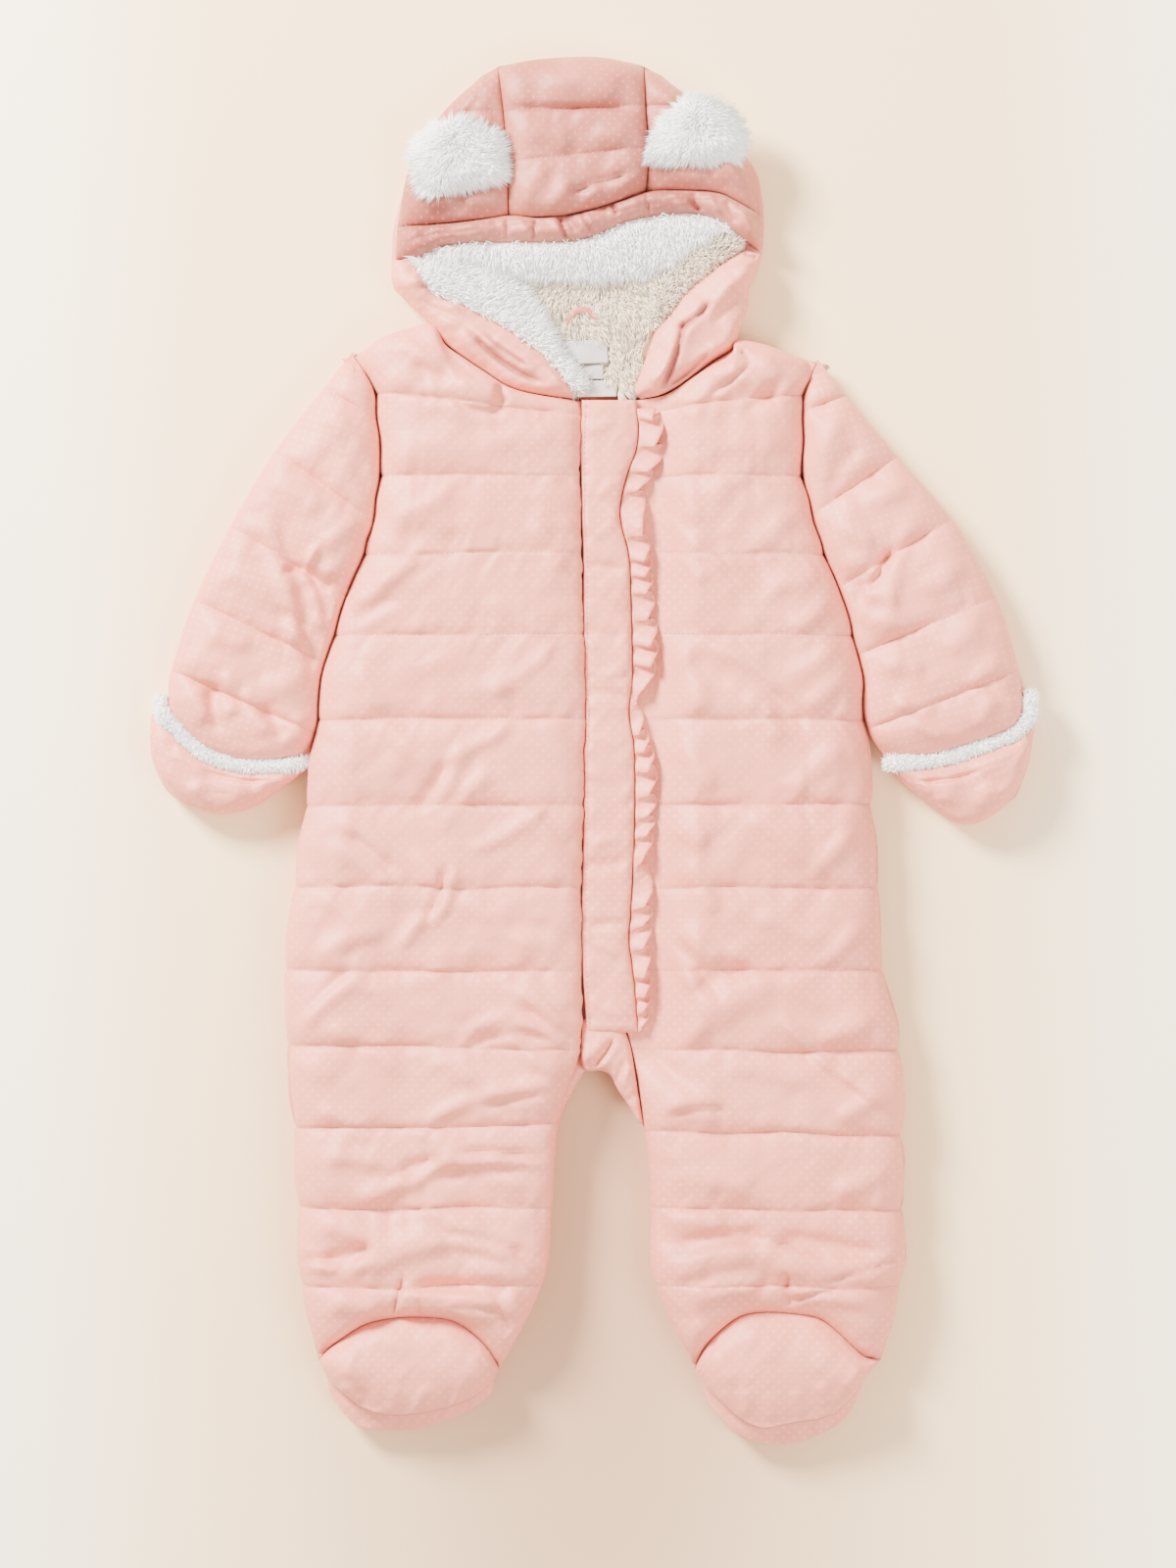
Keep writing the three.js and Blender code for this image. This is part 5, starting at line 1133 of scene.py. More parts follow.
bandCreases = [
    [-26, 299, -16, 286, 3.2, 2.4, 1], [-18, 300, -8, 287, 2.6, -2.4, 0],
    [-8, 301, 0, 290, 3.2, 2.4, 0], [6, 304, 10, 292, 2.8, -1.8, 0], [-40, 296, -36, 286, 3.4, 1.8, 0],
    [-56, 296, -50, 285, 3.2, -1.6, 0], [-70, 293, -64, 284, 3.4, 1.6, 0],
    [-88, 292, -78, 283, 3.4, 1.7, 0], [-102, 288, -92, 278, 3.4, 1.6, 0],
    [-104, 282, -60, 288, 2.6, -1.5, 2], [-52, 290, -10, 291, 2.6, -1.4, 2],
    [12, 297, 40, 304, 3, -1.4, 1], [44, 311, 50, 300, 3.2, 2, 0], [56, 311, 60, 299, 3, -2, 0],
    [64, 310, 70, 297, 3.2, 2.2, 0], [74, 306, 80, 292, 3, -2, 0], [82, 302, 90, 286, 3.2, 2, 0],
    [22, 308, 26, 297, 3, 1.6, 0], [40, 304, 76, 302, 3, -1.3, 3], [-104, 262, -72, 242, 4, 2.2, 3],
    [-96, 250, -66, 230, 3.4, -2.2, 2], [-84, 240, -52, 218, 4, 2.4, 3],
    [-69, 234, -27, 204, 2, -4.2, -3.5], [-60, 229, -32, 209, 3.4, 2.8, 2],
    [-60, 232, -34, 212, 1.7, -3.2, -1], [-97, 259, -84, 253, 1.8, -3.2, 1],
    [-74, 232, -60, 214, 3.6, 2, 0], [-40, 222, -16, 202, 3.6, 2, 2], [-100, 266, -88, 258, 4, 1.8, 0],
    [66, 250, 48, 234, 1.9, -4, 1.5], [51, 238, 37.5, 199, 1.9, -4.2, 1.5],
    [60, 250, 44, 222, 3.8, 2.6, 3], [78, 262, 60, 244, 4, 2.2, 2], [84, 254, 66, 236, 3.6, -2, 0],
    [80, 238, 52, 210, 4.2, 2.4, 3], [66, 222, 40, 201, 1.6, -3, 1], [84, 277, 92, 274, 1.6, -3.2, 0],
    [-21.7, 303, -15.2, 284, 1.5, -4.2, 1], [9, 305, 14, 297, 1.5, -3.4, 0.5],
    [-8, 302, -0.5, 287, 1.3, -2.8, 0], [-31, 296, -34, 283, 1.3, -2.4, 0],
    [-47.7, 297, -47.7, 283, 0.9, -2, 0], [29.6, 310, 31.6, 299, 0.9, -2, 0],
    [54, 306, 61, 299, 1.5, -3.4, 0], [46, 226, 34, 204, 3.4, 2.4, 2], [88, 268, 76, 256, 4, 2.2, 0],
    [70, 226, 56, 214, 3.6, 1.8, 0], [90, 276, 72, 268, 3, -1.8, 0],

]


# A closed curve through the points, evenly spaced
def ringCurve(points, count):
    points = np.asarray(points, float)
    looped = np.vstack([points[-3:], points, points[:4]])
    t = np.linspace(3, 3 + len(points), 4001) / (len(looped) - 1)
    dense = curvePoint(looped, t)
    length = np.concatenate([[0], np.cumsum(np.linalg.norm(np.diff(dense, axis=0), axis=1))])
    even = np.linspace(0, length[-1], count, endpoint=False)
    return np.stack([np.interp(even, length, dense[:, k]) for k in (0, 1)], 1)


# A closed line moved inwards by distance along its normals
def ringInset(ring, distance):
    tangent = unit(np.roll(ring, -1, axis=0) - np.roll(ring, 1, axis=0))
    area = (ring[:, 0] * np.roll(ring[:, 1], -1) - np.roll(ring[:, 0], -1) * ring[:, 1]).sum()
    return ring + np.stack([-tangent[:, 1], tangent[:, 0]], 1) * np.sign(area) * distance


# A flat closed piece: rings of inset and height, with a face below and one on top
def layeredDisc(ring, levels):
    count = len(ring)
    points = np.concatenate([np.column_stack([ringInset(ring, d), np.full(count, z)]) for d, z in levels])
    around = np.arange(count)
    last = count * (len(levels) - 1)
    return points, [ringFaces(len(levels), count), around[None, ::-1], around[None] + last]


hoodRing = ringCurve(hood["outline"], 300)
floorLevel, liningLevel = hood["backTop"] + seamGap, hood["liningTop"] + seamGap


# Wall rings of a panel that lies over the lining: at the hood's outline it reaches the back, runs
# in below its own edge, and climbs over the lining; elsewhere it ends above the lining
def overLining(plan):
    rim = drawnIn(plan, 0)
    nearOutline = np.min(np.linalg.norm(rim[:, None] - hoodRing[None], axis=2), axis=1) < 6
    low = np.where(nearOutline, floorLevel, liningLevel)
    inset = np.where(nearOutline, 9.6, 0.25)
    return [(0.05, low + 0.4), (0.1, low), (inset, low + 0.02),
            (inset + 0.25, np.full(len(low), liningLevel + 0.04))]


crownTops = {}


# A crown panel of the hood: three quilted rows that end at the band's seam
def makeCrown(name, rows, head, hem, crown, edges, columns, seed):
    v, u = channelRows(3, 18), places(columns, 0.45)
    plan = panelPlan(rows, v, u, head, hem)
    height, seam = quiltHeight(plan, v, 3, crown, edges, hood, seed, hoodCreases)
    keepStitches(plan, height, 18, 3)
    crownTops[name] = np.dstack([plan, height])
    return sewPanel(name + "_cloth", name, plan, height, overLining(plan), seam, 0.1, shadedHoodCloth)


# Rows from one rail to another, at even shares of their lengths
def railRows(outer, inner, count):
    share = np.linspace(0, 1, count + 1)
    return np.hstack([arcPoint(outer, share), arcPoint(inner, share)])


# A strip along the face opening: its ridge is a sine across, its long edges are rounded, and both
# its ends roll down
def stripShape(first, second, ridge, edge, ends, columns, rows):
    v = places(rows, 0.4)
    plan = planBetween(first, second, places(columns, 0.25), v)
    side, near = fromRows(plan), fromColumns(plan)
    rounded = (edge - ends) * (0.55 + 0.45 * rollOver(side, 5)) + (ridge - edge) * np.sin(np.pi * v)[:, None]
    return plan, side, near, ends + rounded * rollOver(near, 16)


# A band of cloth on such a strip: gathers are noise along its length, stronger at its long edges
def makeBand(name, first, second, ridge, edge, ends, material, seed):
    plan, side, near, height = stripShape(first, second, ridge, edge, ends, 210, 32)
    x, y, v, run = plan[..., 0], plan[..., 1], places(32, 0.4)[:, None], runAlong(plan)
    ripple = softNoise(run, v * 1.2 + 0 * run, 7.5, seed) + 0.5 * softNoise(run, v * 2 + 0 * run, 4, seed + 1)
    gathers = 0.9 * ripple * (0.35 + 0.65 * np.abs(2 * v - 1))
    calm = 0.8 * softNoise(x + 0.3 * y, y, 14, seed + 2)
    inside = np.clip(side / 3, 0, 1) * np.clip(near / 6, 0, 1)
    height = height + (gathers + calm + 1.35 * creaseHeight(x, y, bandCreases, 1.5)) * inside
    shade = creaseShade(x, y, bandCreases, 0.8) * np.clip(side / 2, 0, 1)
    return sewPanel(name + "_cloth", name, plan, np.maximum(height, ends - 0.5), overLining(plan), shade, 0.1,
                    material, lengthwise=True)


# A bed for white pile on such a strip
def makeFurBed(name, first, second, ridge, columns):
    plan, _, _, height = stripShape(first, second, ridge, 19.5, 17, columns, 22)
    height = np.maximum(height, liningLevel + 0.5)
    points, faces = closedPanel(plan, height, overLining(plan), lengthwise=True)
    piece = makePiece(name + "_band", points, faces, whitePile, {"length": np.full(len(points), 0.4)})
    pileBeds[name] = np.dstack([plan, height])
    return settle(piece, "trim", name)


# Hood's back: a flat top with a wall of rings, each an inset and a height
def makeHoodBack():
    wall = [(4.6, 0), (3.0, 0.7), (1.6, 2.2), (0.5, 4.4), (0, 6.4), (0.3, 7.5), (0.7, hood["backTop"])]
    points, faces = layeredDisc(hoodRing, wall)
    piece = makePiece("hood_back_cloth", points, faces, bodyCloth, {"seam": np.zeros(len(points))})
    settle(piece, "shell", "hood_back")


makeHoodBack()
bandSeam = hood["bandSeam"]
makeCrown("hood_centre", railRows(hood["seamRight"], hood["seamLeft"], 3), hood["topCentre"],
          bandSeam[3:8], 32.5, (23, 23, 12, 22), 72, 101)
makeCrown("hood_side_right", railRows(hood["topRight"], hood["seamRight"], 3), None,
          bandSeam[:4], 29.5, (9.2, 23, 12, 21), 60, 103)
makeCrown("hood_side_left", railRows(hood["topLeft"], hood["seamLeft"], 3), None,
          bandSeam[7:][::-1], 29.5, (9.2, 23, 12, 21), 60, 107)
makeBand("hood_band_top", bandSeam, hood["faceEdge"], 28.5, 23, 12, shadedHoodCloth, 109)
makeBand("hood_band_right", hood["bandRightOuter"], [[-99.5, 273.8], *hood["furRightOuter"][1:]],
         26.5, 20, 15, bodyCloth, 113)
makeBand("hood_band_left", hood["bandLeftOuter"], hood["bandLeftInner"], 28.5, 21, 15, bodyCloth, 127)
makeFurBed("hood_fur_top", hood["faceEdge"][1:-1], hood["furTopEdge"], 21.5, 120)
makeFurBed("hood_fur_right", [[-99.5, 270.5], *hood["furRightOuter"]], [[-84, 271.5], *hood["furRightInner"]],
           22, 80)
print("hood shell made")


# Lining: a flat padded disc inside the hood, and the strip that stands at the left side
def makeLining():
    ring = ringInset(hoodRing, 10.3)
    points, faces = layeredDisc(ring, [(0, floorLevel), (0, 12), (1.6, 15), (2.4, hood["liningTop"])])
    piece = makePiece("lining_ground", points, faces, ivoryPile, {"length": np.full(len(points), 0.25)})
    settle(piece, "plush", "hood_lining")
    u, v = places(60, 0.3), places(10, 0.4)
    plan = planBetween(hood["sideLiningOuter"], hood["sideLiningInner"], u, v)
    side = fromRows(plan)
    ends = fromColumns(plan)
    height = 17 + 3.6 * rollOver(side, 3) * rollOver(ends, 6)
    levels = [(0.05, liningLevel + 0.3), (0.15, liningLevel)]
    points, faces = closedPanel(plan, height, levels, lengthwise=True)
    strip = makePiece("lining_side_ground", points, faces, ivoryPile, {"length": np.full(len(points), 0.25)})
    pileBeds["lining_side"] = np.dstack([plan, height])
    settle(strip, "plush", "hood_lining_side")


makeLining()


# Ears: a low pad on the crown. Its top is a dome over the outline, its underside follows the crown
ears = {
    "right": [[-93, 338], [-75, 346.5], [-60, 341], [-53.5, 338], [-52.5, 328], [-51.5, 320.5],
              [-61, 317], [-79, 313.5], [-91, 310], [-94, 316], [-96, 328]],
    "left": [[35, 329.5], [37, 337], [43, 348.5], [54, 357.5], [67, 356.5], [77, 349], [80.5, 341],
             [77, 330.5], [61, 329]],
    "top": 35.2,
}


# Height of a surface at plan points: that of its nearest grid point
def surfaceBelow(plan, surface):
    flat, x, y = surface.reshape(-1, 3), plan[..., 0].ravel(), plan[..., 1].ravel()
    gap = (x[:, None] - flat[None, :, 0]) ** 2 + (y[:, None] - flat[None, :, 1]) ** 2
    return flat[np.argmin(gap, axis=1), 2].reshape(plan.shape[:2])


# An ear's top is ears top - 9 r^5, and never less than 2.2 (1 - r^4)^0.5 over its underside
def makeEar(side):
    outline = ringCurve(ears[side], 96)
    centre = outline.mean(0)
    r = np.sin(np.linspace(0.04, 1, 16) * np.pi / 2)[:, None]
    plan = centre + (outline - centre)[None] * r[..., None]
    low = np.maximum(surfaceBelow(plan, crownTops["hood_side_" + side]) + 0.5, 20.5)
    top = np.maximum(low + 2.2 * np.sqrt(np.clip(1.0001 - r ** 4, 0, 1)) + 0.3, ears["top"] - 9 * r ** 5)
    top = np.maximum(top + 0.5 * softNoise(plan[..., 0], plan[..., 1], 7, 141), low + 0.3)
    rings, count = plan.shape[:2]
    points = np.concatenate([np.dstack([plan, top]).reshape(-1, 3), np.dstack([plan, low]).reshape(-1, 3)])
    under, around = rings * count, np.arange(count)
    upper, rim = ringFaces(rings, count), (rings - 1) * count + around
    after = np.roll(rim, -1)
    wall = np.stack([rim, after, after + under, rim + under], -1)
    faces = [upper, upper[:, ::-1] + under, wall, around[None, ::-1], around[None] + under]
    piece = makePiece("ear_pad_" + side, points, faces, whitePile, {"length": np.full(len(points), 0.5)})
    pileBeds["ear_" + side] = np.dstack([plan, top])
    return settle(piece, "trim", "ear_" + side)


makeEar("right")
makeEar("left")
print("lining and ears made")


# Pile: tufts of three sides, each a tapered blade in two bends that leans with its clump

pile = {
    # name: tufts, length in mm, radius at the root
    "ear_right": (5200, 8.0, 0.42),
    "ear_left": (5200, 8.0, 0.42),
    "hood_fur_top": (6200, 8.5, 0.46),
    "hood_fur_right": (4800, 8.5, 0.46),
    "cuff_right": (3000, 3.6, 0.34),
    "cuff_left": (3000, 3.6, 0.34),
    "lining": (10500, 8.5, 0.46),
    "lining_side": (2300, 6.0, 0.42),
}


# Random places on a grid surface, by the share of each cell in its area, with normals
def scatter(bed, count, random):
    a, b, c, d = bed[:-1, :-1], bed[:-1, 1:], bed[1:, 1:], bed[1:, :-1]
    area = np.linalg.norm(np.cross(b - a, d - a), axis=2).ravel()
    cell = np.minimum(np.searchsorted(np.cumsum(area) / area.sum(), random.random(count)), len(area) - 1)
    s, t = random.random((2, count, 1))
    corners = [k.reshape(-1, 3)[cell] for k in (a, b, c, d)]
    place = (corners[0] * (1 - s) + corners[1] * s) * (1 - t) + (corners[3] * (1 - s) + corners[2] * s) * t
    normal = np.cross(corners[1] - corners[0], corners[3] - corners[0])
    normal /= np.linalg.norm(normal, axis=1, keepdims=True) + 1e-9
    normal *= np.where(normal[:, 2:] < 0, -1, 1)
    return place, normal


# The clump of a root: the middle of its cell on a jittered lattice, as an offset from the root
def clumpOffset(place, size, seed):
    cell = np.floor(place[:, :2] / size)
    jitter = np.stack([softNoise(cell[:, 0], cell[:, 1], 1, seed + k) for k in (0, 5)], 1)
    middle = (cell + 0.5 + jitter * 0.35) * size
    return np.column_stack([middle - place[:, :2], np.zeros(len(place))])


# Root, knee and tip of each tuft: out along its direction, then over towards its comb and clump
def makePile(name, place, normal, comb, material, slotName, seed, clump=3.4, upright=0.8,
             combing=0.7, stray=0.45):
    count, length, radius = len(place), pile[name][1], pile[name][2]
    random = np.random.default_rng(seed)
    size = (length * random.uniform(0.7, 1.2, count))[:, None]
    noise = random.normal(0, 1, (count, 3))
    direction = unit(normal * upright + comb * combing + noise * stray)
    gather = clumpOffset(place, clump, seed) * 0.75
    swirl = np.zeros((count, 3))
    for k in (0, 1):
        swirl[:, k] = softNoise(place[:, 0], place[:, 1], 9, seed + 2 + k)
    bend = comb * combing + swirl * 0.9 + noise[:, ::-1] * stray * 0.5 + [0, 0, -0.35]
    knee = place + direction * size * 0.5 + gather * 0.45
    tip = place + direction * size * 0.72 + unit(bend) * size * 0.42 + gather
    lowest = place[:, 2:] - 0.3
    tip[:, 2:] = np.maximum(tip[:, 2:], lowest)
    axis = unit(knee - place)
    side = unit(np.cross(axis, random.normal(0, 1, (count, 3))))
    other = np.cross(axis, side)
    thickness = radius * random.uniform(0.75, 1.2, (count, 1))
    corners = []
    for centre, share in ((place - normal * 0.4, 1.0), (knee, 0.72)):
        for angle in (0, 2 * math.pi / 3, 4 * math.pi / 3):
            corners.append(centre + (side * math.cos(angle) + other * math.sin(angle)) * thickness * share)
    points = np.stack([*corners, tip], 1).reshape(-1, 3)
    start = np.arange(count)[:, None] * 7
    quads = (start[:, None] + np.array([[0, 1, 4, 3], [1, 2, 5, 4], [2, 0, 3, 5]])).reshape(-1, 4)
    tips = (start[:, None] + np.array([[3, 4, 6], [4, 5, 6], [5, 3, 6], [0, 2, 1]])).reshape(-1, 3)
    tone = np.tile([0.0, 0, 0, 0.75, 0.75, 0.75, 1], count)
    piece = makePiece(name + "_pile", points, [quads, tips], material, {"length": tone})
    return settle(piece, slotName)


# Pile on a bed at seeded places, combed by a function of the place
def pileOnBed(name, slotName, material, seed, combOf, **manner):
    random = np.random.default_rng(seed + 900)
    place, normal = scatter(pileBeds[name], pile[name][0], random)
    return makePile(name, place, normal, combOf(place), material, slotName, seed, **manner)


# Comb from the middle of an ear outwards, and down
def fromCentre(bed):
    centre = bed[0].mean(0)[:2]
    reach = np.abs(bed[-1][:, :2] - centre).mean()
    return lambda place: np.column_stack(
        [(place[:, :2] - centre) / reach + [0.1, -0.55], np.zeros(len(place))])


# Comb straight across a strip, from its first edge to its second
def acrossBed(bed, tilt):
    middle = bed[len(bed) // 2, :, :2]
    across = unit(bed[-1, :, :2] - bed[0, :, :2])

    def comb(place):
        gap = place[:, None, :2] - middle[None]
        near = np.argmin(gap[..., 0] ** 2 + gap[..., 1] ** 2, 1)
        return np.column_stack([across[near] + [tilt, 0], np.zeros(len(place))])
    return comb


for side, seed in (("right", 201), ("left", 211)):
    pileOnBed("ear_" + side, "trim", whitePile, seed, fromCentre(pileBeds["ear_" + side]),
              clump=3.6, upright=0.55, combing=0.9, stray=0.4)
    pileOnBed("cuff_" + side, "trim", whitePile, seed + 3, acrossBed(pileBeds["cuff_" + side], 0.1),
              clump=2.4, upright=0.9, combing=0.15, stray=0.6)
pileOnBed("hood_fur_top", "trim", whitePile, 221, acrossBed(pileBeds["hood_fur_top"], 0.15),
          clump=3.4, upright=0.5, combing=1.0, stray=0.4)
pileOnBed("hood_fur_right", "trim", whitePile, 231, acrossBed(pileBeds["hood_fur_right"], 0.2),
          clump=3.6, upright=0.55, combing=0.8, stray=0.5)
pileOnBed("lining_side", "plush", ivoryPile, 241, acrossBed(pileBeds["lining_side"], 0),
          clump=3.4, upright=0.7, combing=0.5, stray=0.4)


labels = {
    "neck": [[-19, 214.5], [9, 216], [8, 229], [-21, 227.5]],
    "care": [[-8.4, 196.9], [13.4, 197.2], [12.6, 206.4], [-8, 206]],
    "tab": [-6, 6, 207.2, 214.6],
    "lift": 18.3,          # height of the labels on the pile
    "wall": 0.35,
}


# Whether points lie inside a quad grown by grow: on the inner side of each edge's line
def insideQuad(x, y, quad, grow):
    quad = np.asarray(quad, float)
    inside = np.ones(x.shape, bool)
    for a, b in zip(quad, np.roll(quad, -1, axis=0)):
        edge = (b - a) / np.linalg.norm(b - a)
        inside &= (x - a[0]) * -edge[1] + (y - a[1]) * edge[0] > -grow
    return inside


# Lining pile: roots in the face opening, short and pressed where a label lies on them
def makeLiningPile():
    random = np.random.default_rng(251)
    opening = np.vstack([hood["furTopEdge"][1:-1],
                         [[66, 287], [46, 268], [36, 250], [31, 233], [26, 214], [20, 199]],
                         [[-6, 197], [-14, 205], [-22, 220], [-34, 236], [-48, 256], [-68, 268]]])
    x, y = random.uniform(-76, 70, 60000), random.uniform(196, 290, 60000)
    turns = np.zeros(len(x), bool)
    for a, b in zip(opening, np.roll(opening, -1, axis=0)):
        crosses = (a[1] > y) != (b[1] > y)
        turns ^= crosses & (x < (b[0] - a[0]) * (y - a[1]) / (b[1] - a[1] + 1e-9) + a[0])
    covered = insideQuad(x, y, labels["neck"], 0.3) | insideQuad(x, y, labels["care"], 0.3)
    covered |= (x > -7) & (x < 7) & (y > 205) & (y < 216)
    keep = np.flatnonzero(turns & ~covered)[:pile["lining"][0]]
    x, y = x[keep], y[keep]
    waves = 1.2 * np.sin(y / 4.2 + 1.5 * softNoise(x, y, 22, 5))
    z = hood["liningTop"] + 0.2 + 0.5 * waves
    place, normal = np.column_stack([x, y, z]), np.tile([0.0, 0, 1], (len(x), 1))
    angle = -np.pi / 2 + 0.9 * softNoise(x, y, 26, 6) + 0.4 * softNoise(x, y, 9, 7)
    comb = np.column_stack([np.cos(angle), np.sin(angle), np.zeros(len(x))])
    return makePile("lining", place, normal, comb, ivoryPile, "plush", 251, clump=4.2, upright=0.5,
                    combing=0.95, stray=0.25)


makeLiningPile()
print("pile made")


# Bare labels on the pile and the hanging loop above them
def makeLabel(name, quad, node, bow, seed):
    quad = np.asarray(quad, float)
    u, v = np.linspace(0, 1, 31)[None, :, None], np.linspace(0, 1, 17)[:, None, None]
    plan = (quad[0] * (1 - u) + quad[1] * u) * (1 - v) + (quad[3] * (1 - u) + quad[2] * u) * v
    z = labels["lift"] + bow * np.sin(np.pi * u[..., 0]) - 0.8 * v[..., 0] ** 2
    z = z + 0.5 * softNoise(plan[..., 0], plan[..., 1], 8, seed)
    points, faces = thickSheet(np.dstack([plan, z]), labels["wall"])
    piece = makePiece(name, points, faces, labelSatin)
    return settle(piece, "label", node)


# Size tab: a strip folded on itself, its path goes out, turns over and comes back
def makeTab():
    left, right, low, high = labels["tab"]
    t = np.linspace(0, 1, 41)
    y = high - (high - low) * np.sin(np.pi * t) ** 0.8
    z = labels["lift"] - 0.9 + 0.55 * np.cos(np.pi * t)
    x = np.linspace(left, right, 13)
    grid = np.dstack([np.broadcast_to(x[None], (41, 13)), np.broadcast_to(y[:, None], (41, 13)),
                      np.broadcast_to(z[:, None], (41, 13))])
    points, faces = thickSheet(grid, labels["wall"])
    piece = makePiece("size_tab_cloth", points, faces, labelSatin)
    return settle(piece, "label", "size_tab")


makeLabel("neck_label_cloth", labels["neck"], "neck_label", 1.4, 301)
makeLabel("care_label_cloth", labels["care"], "care_label", -0.6, 307)
makeTab()


# Hanging loop: an oval section carried along an arch
def makeLoop():
    path = [[-13, 233.5], [-13.2, 238], [-11.8, 242], [-9.2, 244.6], [-6.2, 245.2], [-3, 244.6],
            [-0.2, 242], [1.2, 238], [1, 233.5]]
    s, a = np.linspace(0, 1, 61), np.linspace(0, 2 * np.pi, 14, endpoint=False)
    centre = arcPoint(path, s)
    tangent = unit(np.gradient(centre, axis=0))
    side = np.stack([-tangent[:, 1], tangent[:, 0]], 1)
    rise = 16.9 + 3.2 * np.sin(np.pi * s) ** 1.5
    offset = 1.9 * np.cos(a)
    points = np.dstack([centre[:, None] + side[:, None] * offset[None, :, None],
                        rise[:, None] + 0.75 * np.sin(a)[None] + 0 * offset[None]]).reshape(-1, 3)
    around = np.arange(len(a))
    faces = [ringFaces(len(s), len(a)), around[None, ::-1], around[None] + (len(s) - 1) * len(a)]
    piece = makePiece("loop_cloth", points, faces, shadedHoodCloth, {"seam": np.zeros(len(points))})
    return settle(piece, "shell", "hanging_loop")


makeLoop()


# Stitches: short lozenges in a row, each sunk at both ends
stitch = {"pitch": 2.9, "length": 1.9, "radius": 0.24, "lift": 0.10}


# Each stitch has two pointed ends and two squares between them, at 1/4 and 3/4 of its length
def makeStitches():
    starts, ends = [], []
    for line in stitchLines:
        if len(line) < 4:
            continue
        length = np.concatenate([[0], np.cumsum(np.linalg.norm(np.diff(line, axis=0), axis=1))])
        first = np.arange(0.8, length[-1] - stitch["length"] - 0.8, stitch["pitch"])
        for store, at in ((starts, first), (ends, first + stitch["length"])):
            store.append(np.stack([np.interp(at, length, line[:, k]) for k in range(3)], 1))
    start, end = np.concatenate(starts), np.concatenate(ends)
    axis = unit(end - start)
    side = unit(np.cross(axis, [0.0, 0, 1]))
    up = np.cross(side, axis)
    corners = [start - up * 0.15]
    for share in (0.25, 0.75):
        centre = start + (end - start) * share + up * stitch["lift"]
        for turn in np.arange(4) * math.pi / 2:
            corners.append(centre + (side * math.cos(turn) + up * math.sin(turn)) * stitch["radius"])
    corners.append(end - up * 0.15)
    points = np.stack(corners, 1).reshape(-1, 3)
    base = np.arange(len(start))[:, None, None] * 10
    k = np.arange(4)
    nose = np.stack([np.zeros(4, int), 1 + (k + 1) % 4, 1 + k], 1)
    tail = np.stack([np.full(4, 9), 5 + k, 5 + (k + 1) % 4], 1)
    belt = np.stack([1 + k, 1 + (k + 1) % 4, 5 + (k + 1) % 4, 5 + k], 1)
    piece = makePiece("stitches", points, [(base + belt).reshape(-1, 4), (base + nose).reshape(-1, 3),
                                           (base + tail).reshape(-1, 3)], pinkThread)
    return settle(piece, "shell")


makeStitches()
print("labels, loop and stitches made")
largest = sorted(triangleCount.items(), key=lambda entry: -entry[1])[:6]
print("triangles in all:", sum(triangleCount.values()), "largest:", largest)


# Floor, light and camera

studio = {
    "cameraHeight": 2.4,
    "photoCentre": (-0.0025, -0.0187),
    "photoHeight": 0.88,       # metres of floor in the long side of the photo
    # the dark tan middle of the floor is a painted shadow and reflection, the pale sides painted light
    "floorShadowColour": (0.53, 0.31, 0.185, 1),
    "floorMiddleColour": (0.93, 0.685, 0.395, 1),
    "floorLitEdgeColour": (0.99, 0.895, 0.70, 1),
    "floorLevel": -0.0006,
    "worldColour": (1.0, 0.965, 0.92, 1),
    "worldStrength": 1.55,
}


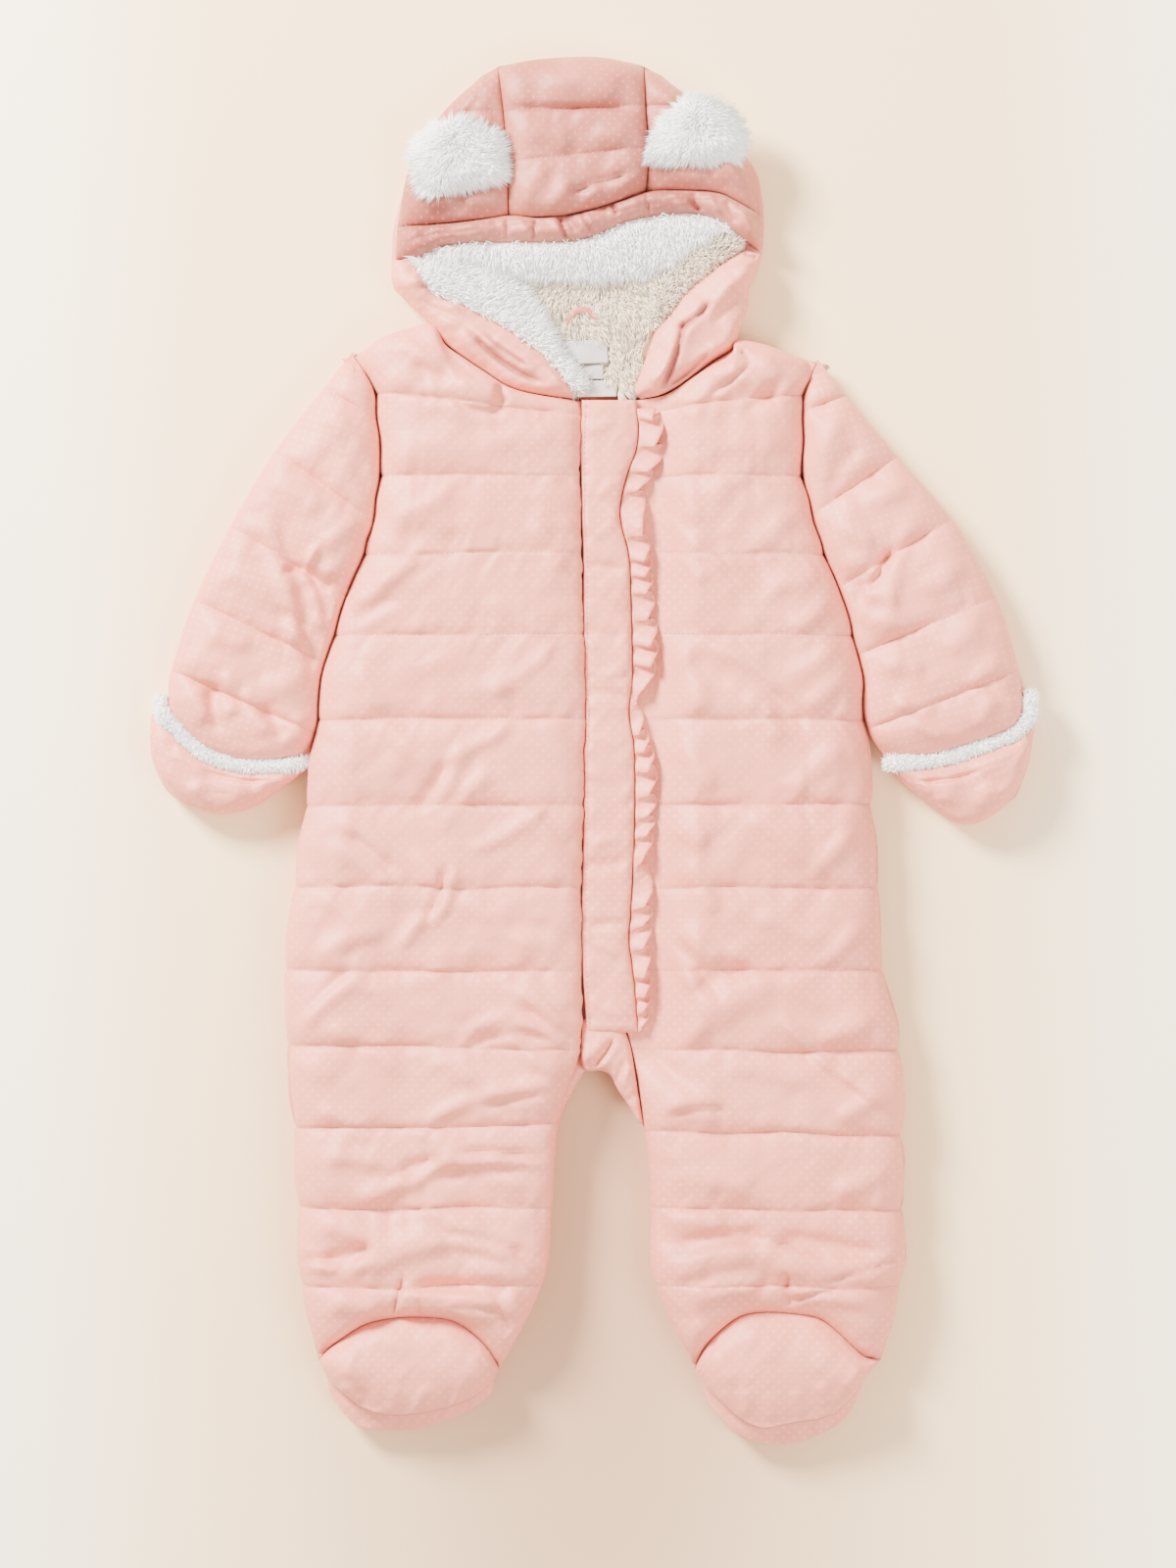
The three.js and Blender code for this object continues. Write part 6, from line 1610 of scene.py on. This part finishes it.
# Floor: an oval of warm tones whose colour follows a soft step of the distance. Its dark tan middle under the
# suit is a painted shadow with a painted warm reflection, and its paler sides are painted light
def makeFloor():
    size = 3.0
    mesh = bpy.data.meshes.new("floor")
    z = studio["floorLevel"]
    corners = [(-size, -size, z), (size, -size, z), (size, size, z), (-size, size, z)]
    mesh.from_pydata(corners, [], [(0, 1, 2, 3)])
    material, shader, add, join = startMaterial("floorPaper", Roughness=0.85)
    place = add("TexCoord")
    oval = join(place, add("Mapping", Location=(0, 0.19, 0), Scale=(1.5, 0.62, 1)), 3)
    away = join(oval, add("VectorMath", operation="LENGTH"))
    # Painted shadow towards the middle, painted light towards the sides
    shadowFade = join(away, add("MapRange", interpolation_type="SMOOTHSTEP", From_Min=0, From_Max=0.40), 1)
    split = join(place, add("SeparateXYZ"), 3)
    aside = join(split, add("Math", operation="ABSOLUTE"))
    litSides = join(aside, add("MapRange", interpolation_type="SMOOTHSTEP", From_Min=0.20, From_Max=0.36))
    warm = mixColour(add, join, shadowFade, studio["floorShadowColour"], studio["floorMiddleColour"])
    join(mixColour(add, join, litSides, warm, studio["floorLitEdgeColour"]), shader, 2, 0)
    mesh.materials.append(material)
    floor = bpy.data.objects.new("floor", mesh)
    bpy.context.scene.collection.objects.link(floor)


# A round lamp turned to the origin: its pitch is acos(-z / length), its heading atan2(y, x) - pi / 2
def makeLamp(name, place, size, watts, colour):
    lamp = bpy.data.lights.new(name, "AREA")
    lamp.shape, lamp.size, lamp.energy, lamp.color = "DISK", size, watts, colour
    holder = bpy.data.objects.new(name, lamp)
    holder.location = place
    direction = np.array([0, 0, 0]) - np.array(place)
    pitch = math.acos(-direction[2] / np.linalg.norm(direction))
    holder.rotation_euler = (pitch, 0, math.atan2(direction[1], direction[0]) - math.pi / 2)
    bpy.context.scene.collection.objects.link(holder)


makeFloor()
makeLamp("keyLamp", (-1.5, 1.5, 1.35), 0.8, 340, (1, 0.97, 0.94))
makeLamp("fillLamp", (1.6, -0.9, 2.0), 1.6, 90, (1, 0.96, 0.92))
world = bpy.data.worlds.new("studioWorld")
world.use_nodes = True
world.node_tree.nodes["Background"].inputs[0].default_value = studio["worldColour"]
world.node_tree.nodes["Background"].inputs[1].default_value = studio["worldStrength"]
bpy.context.scene.world = world

camera = bpy.data.objects.new("camera", bpy.data.cameras.new("camera"))
camera.data.lens = 36 * studio["cameraHeight"] / studio["photoHeight"]
camera.location = (*studio["photoCentre"], studio["cameraHeight"])
bpy.context.scene.collection.objects.link(camera)
bpy.context.scene.camera = camera
print("stage set")
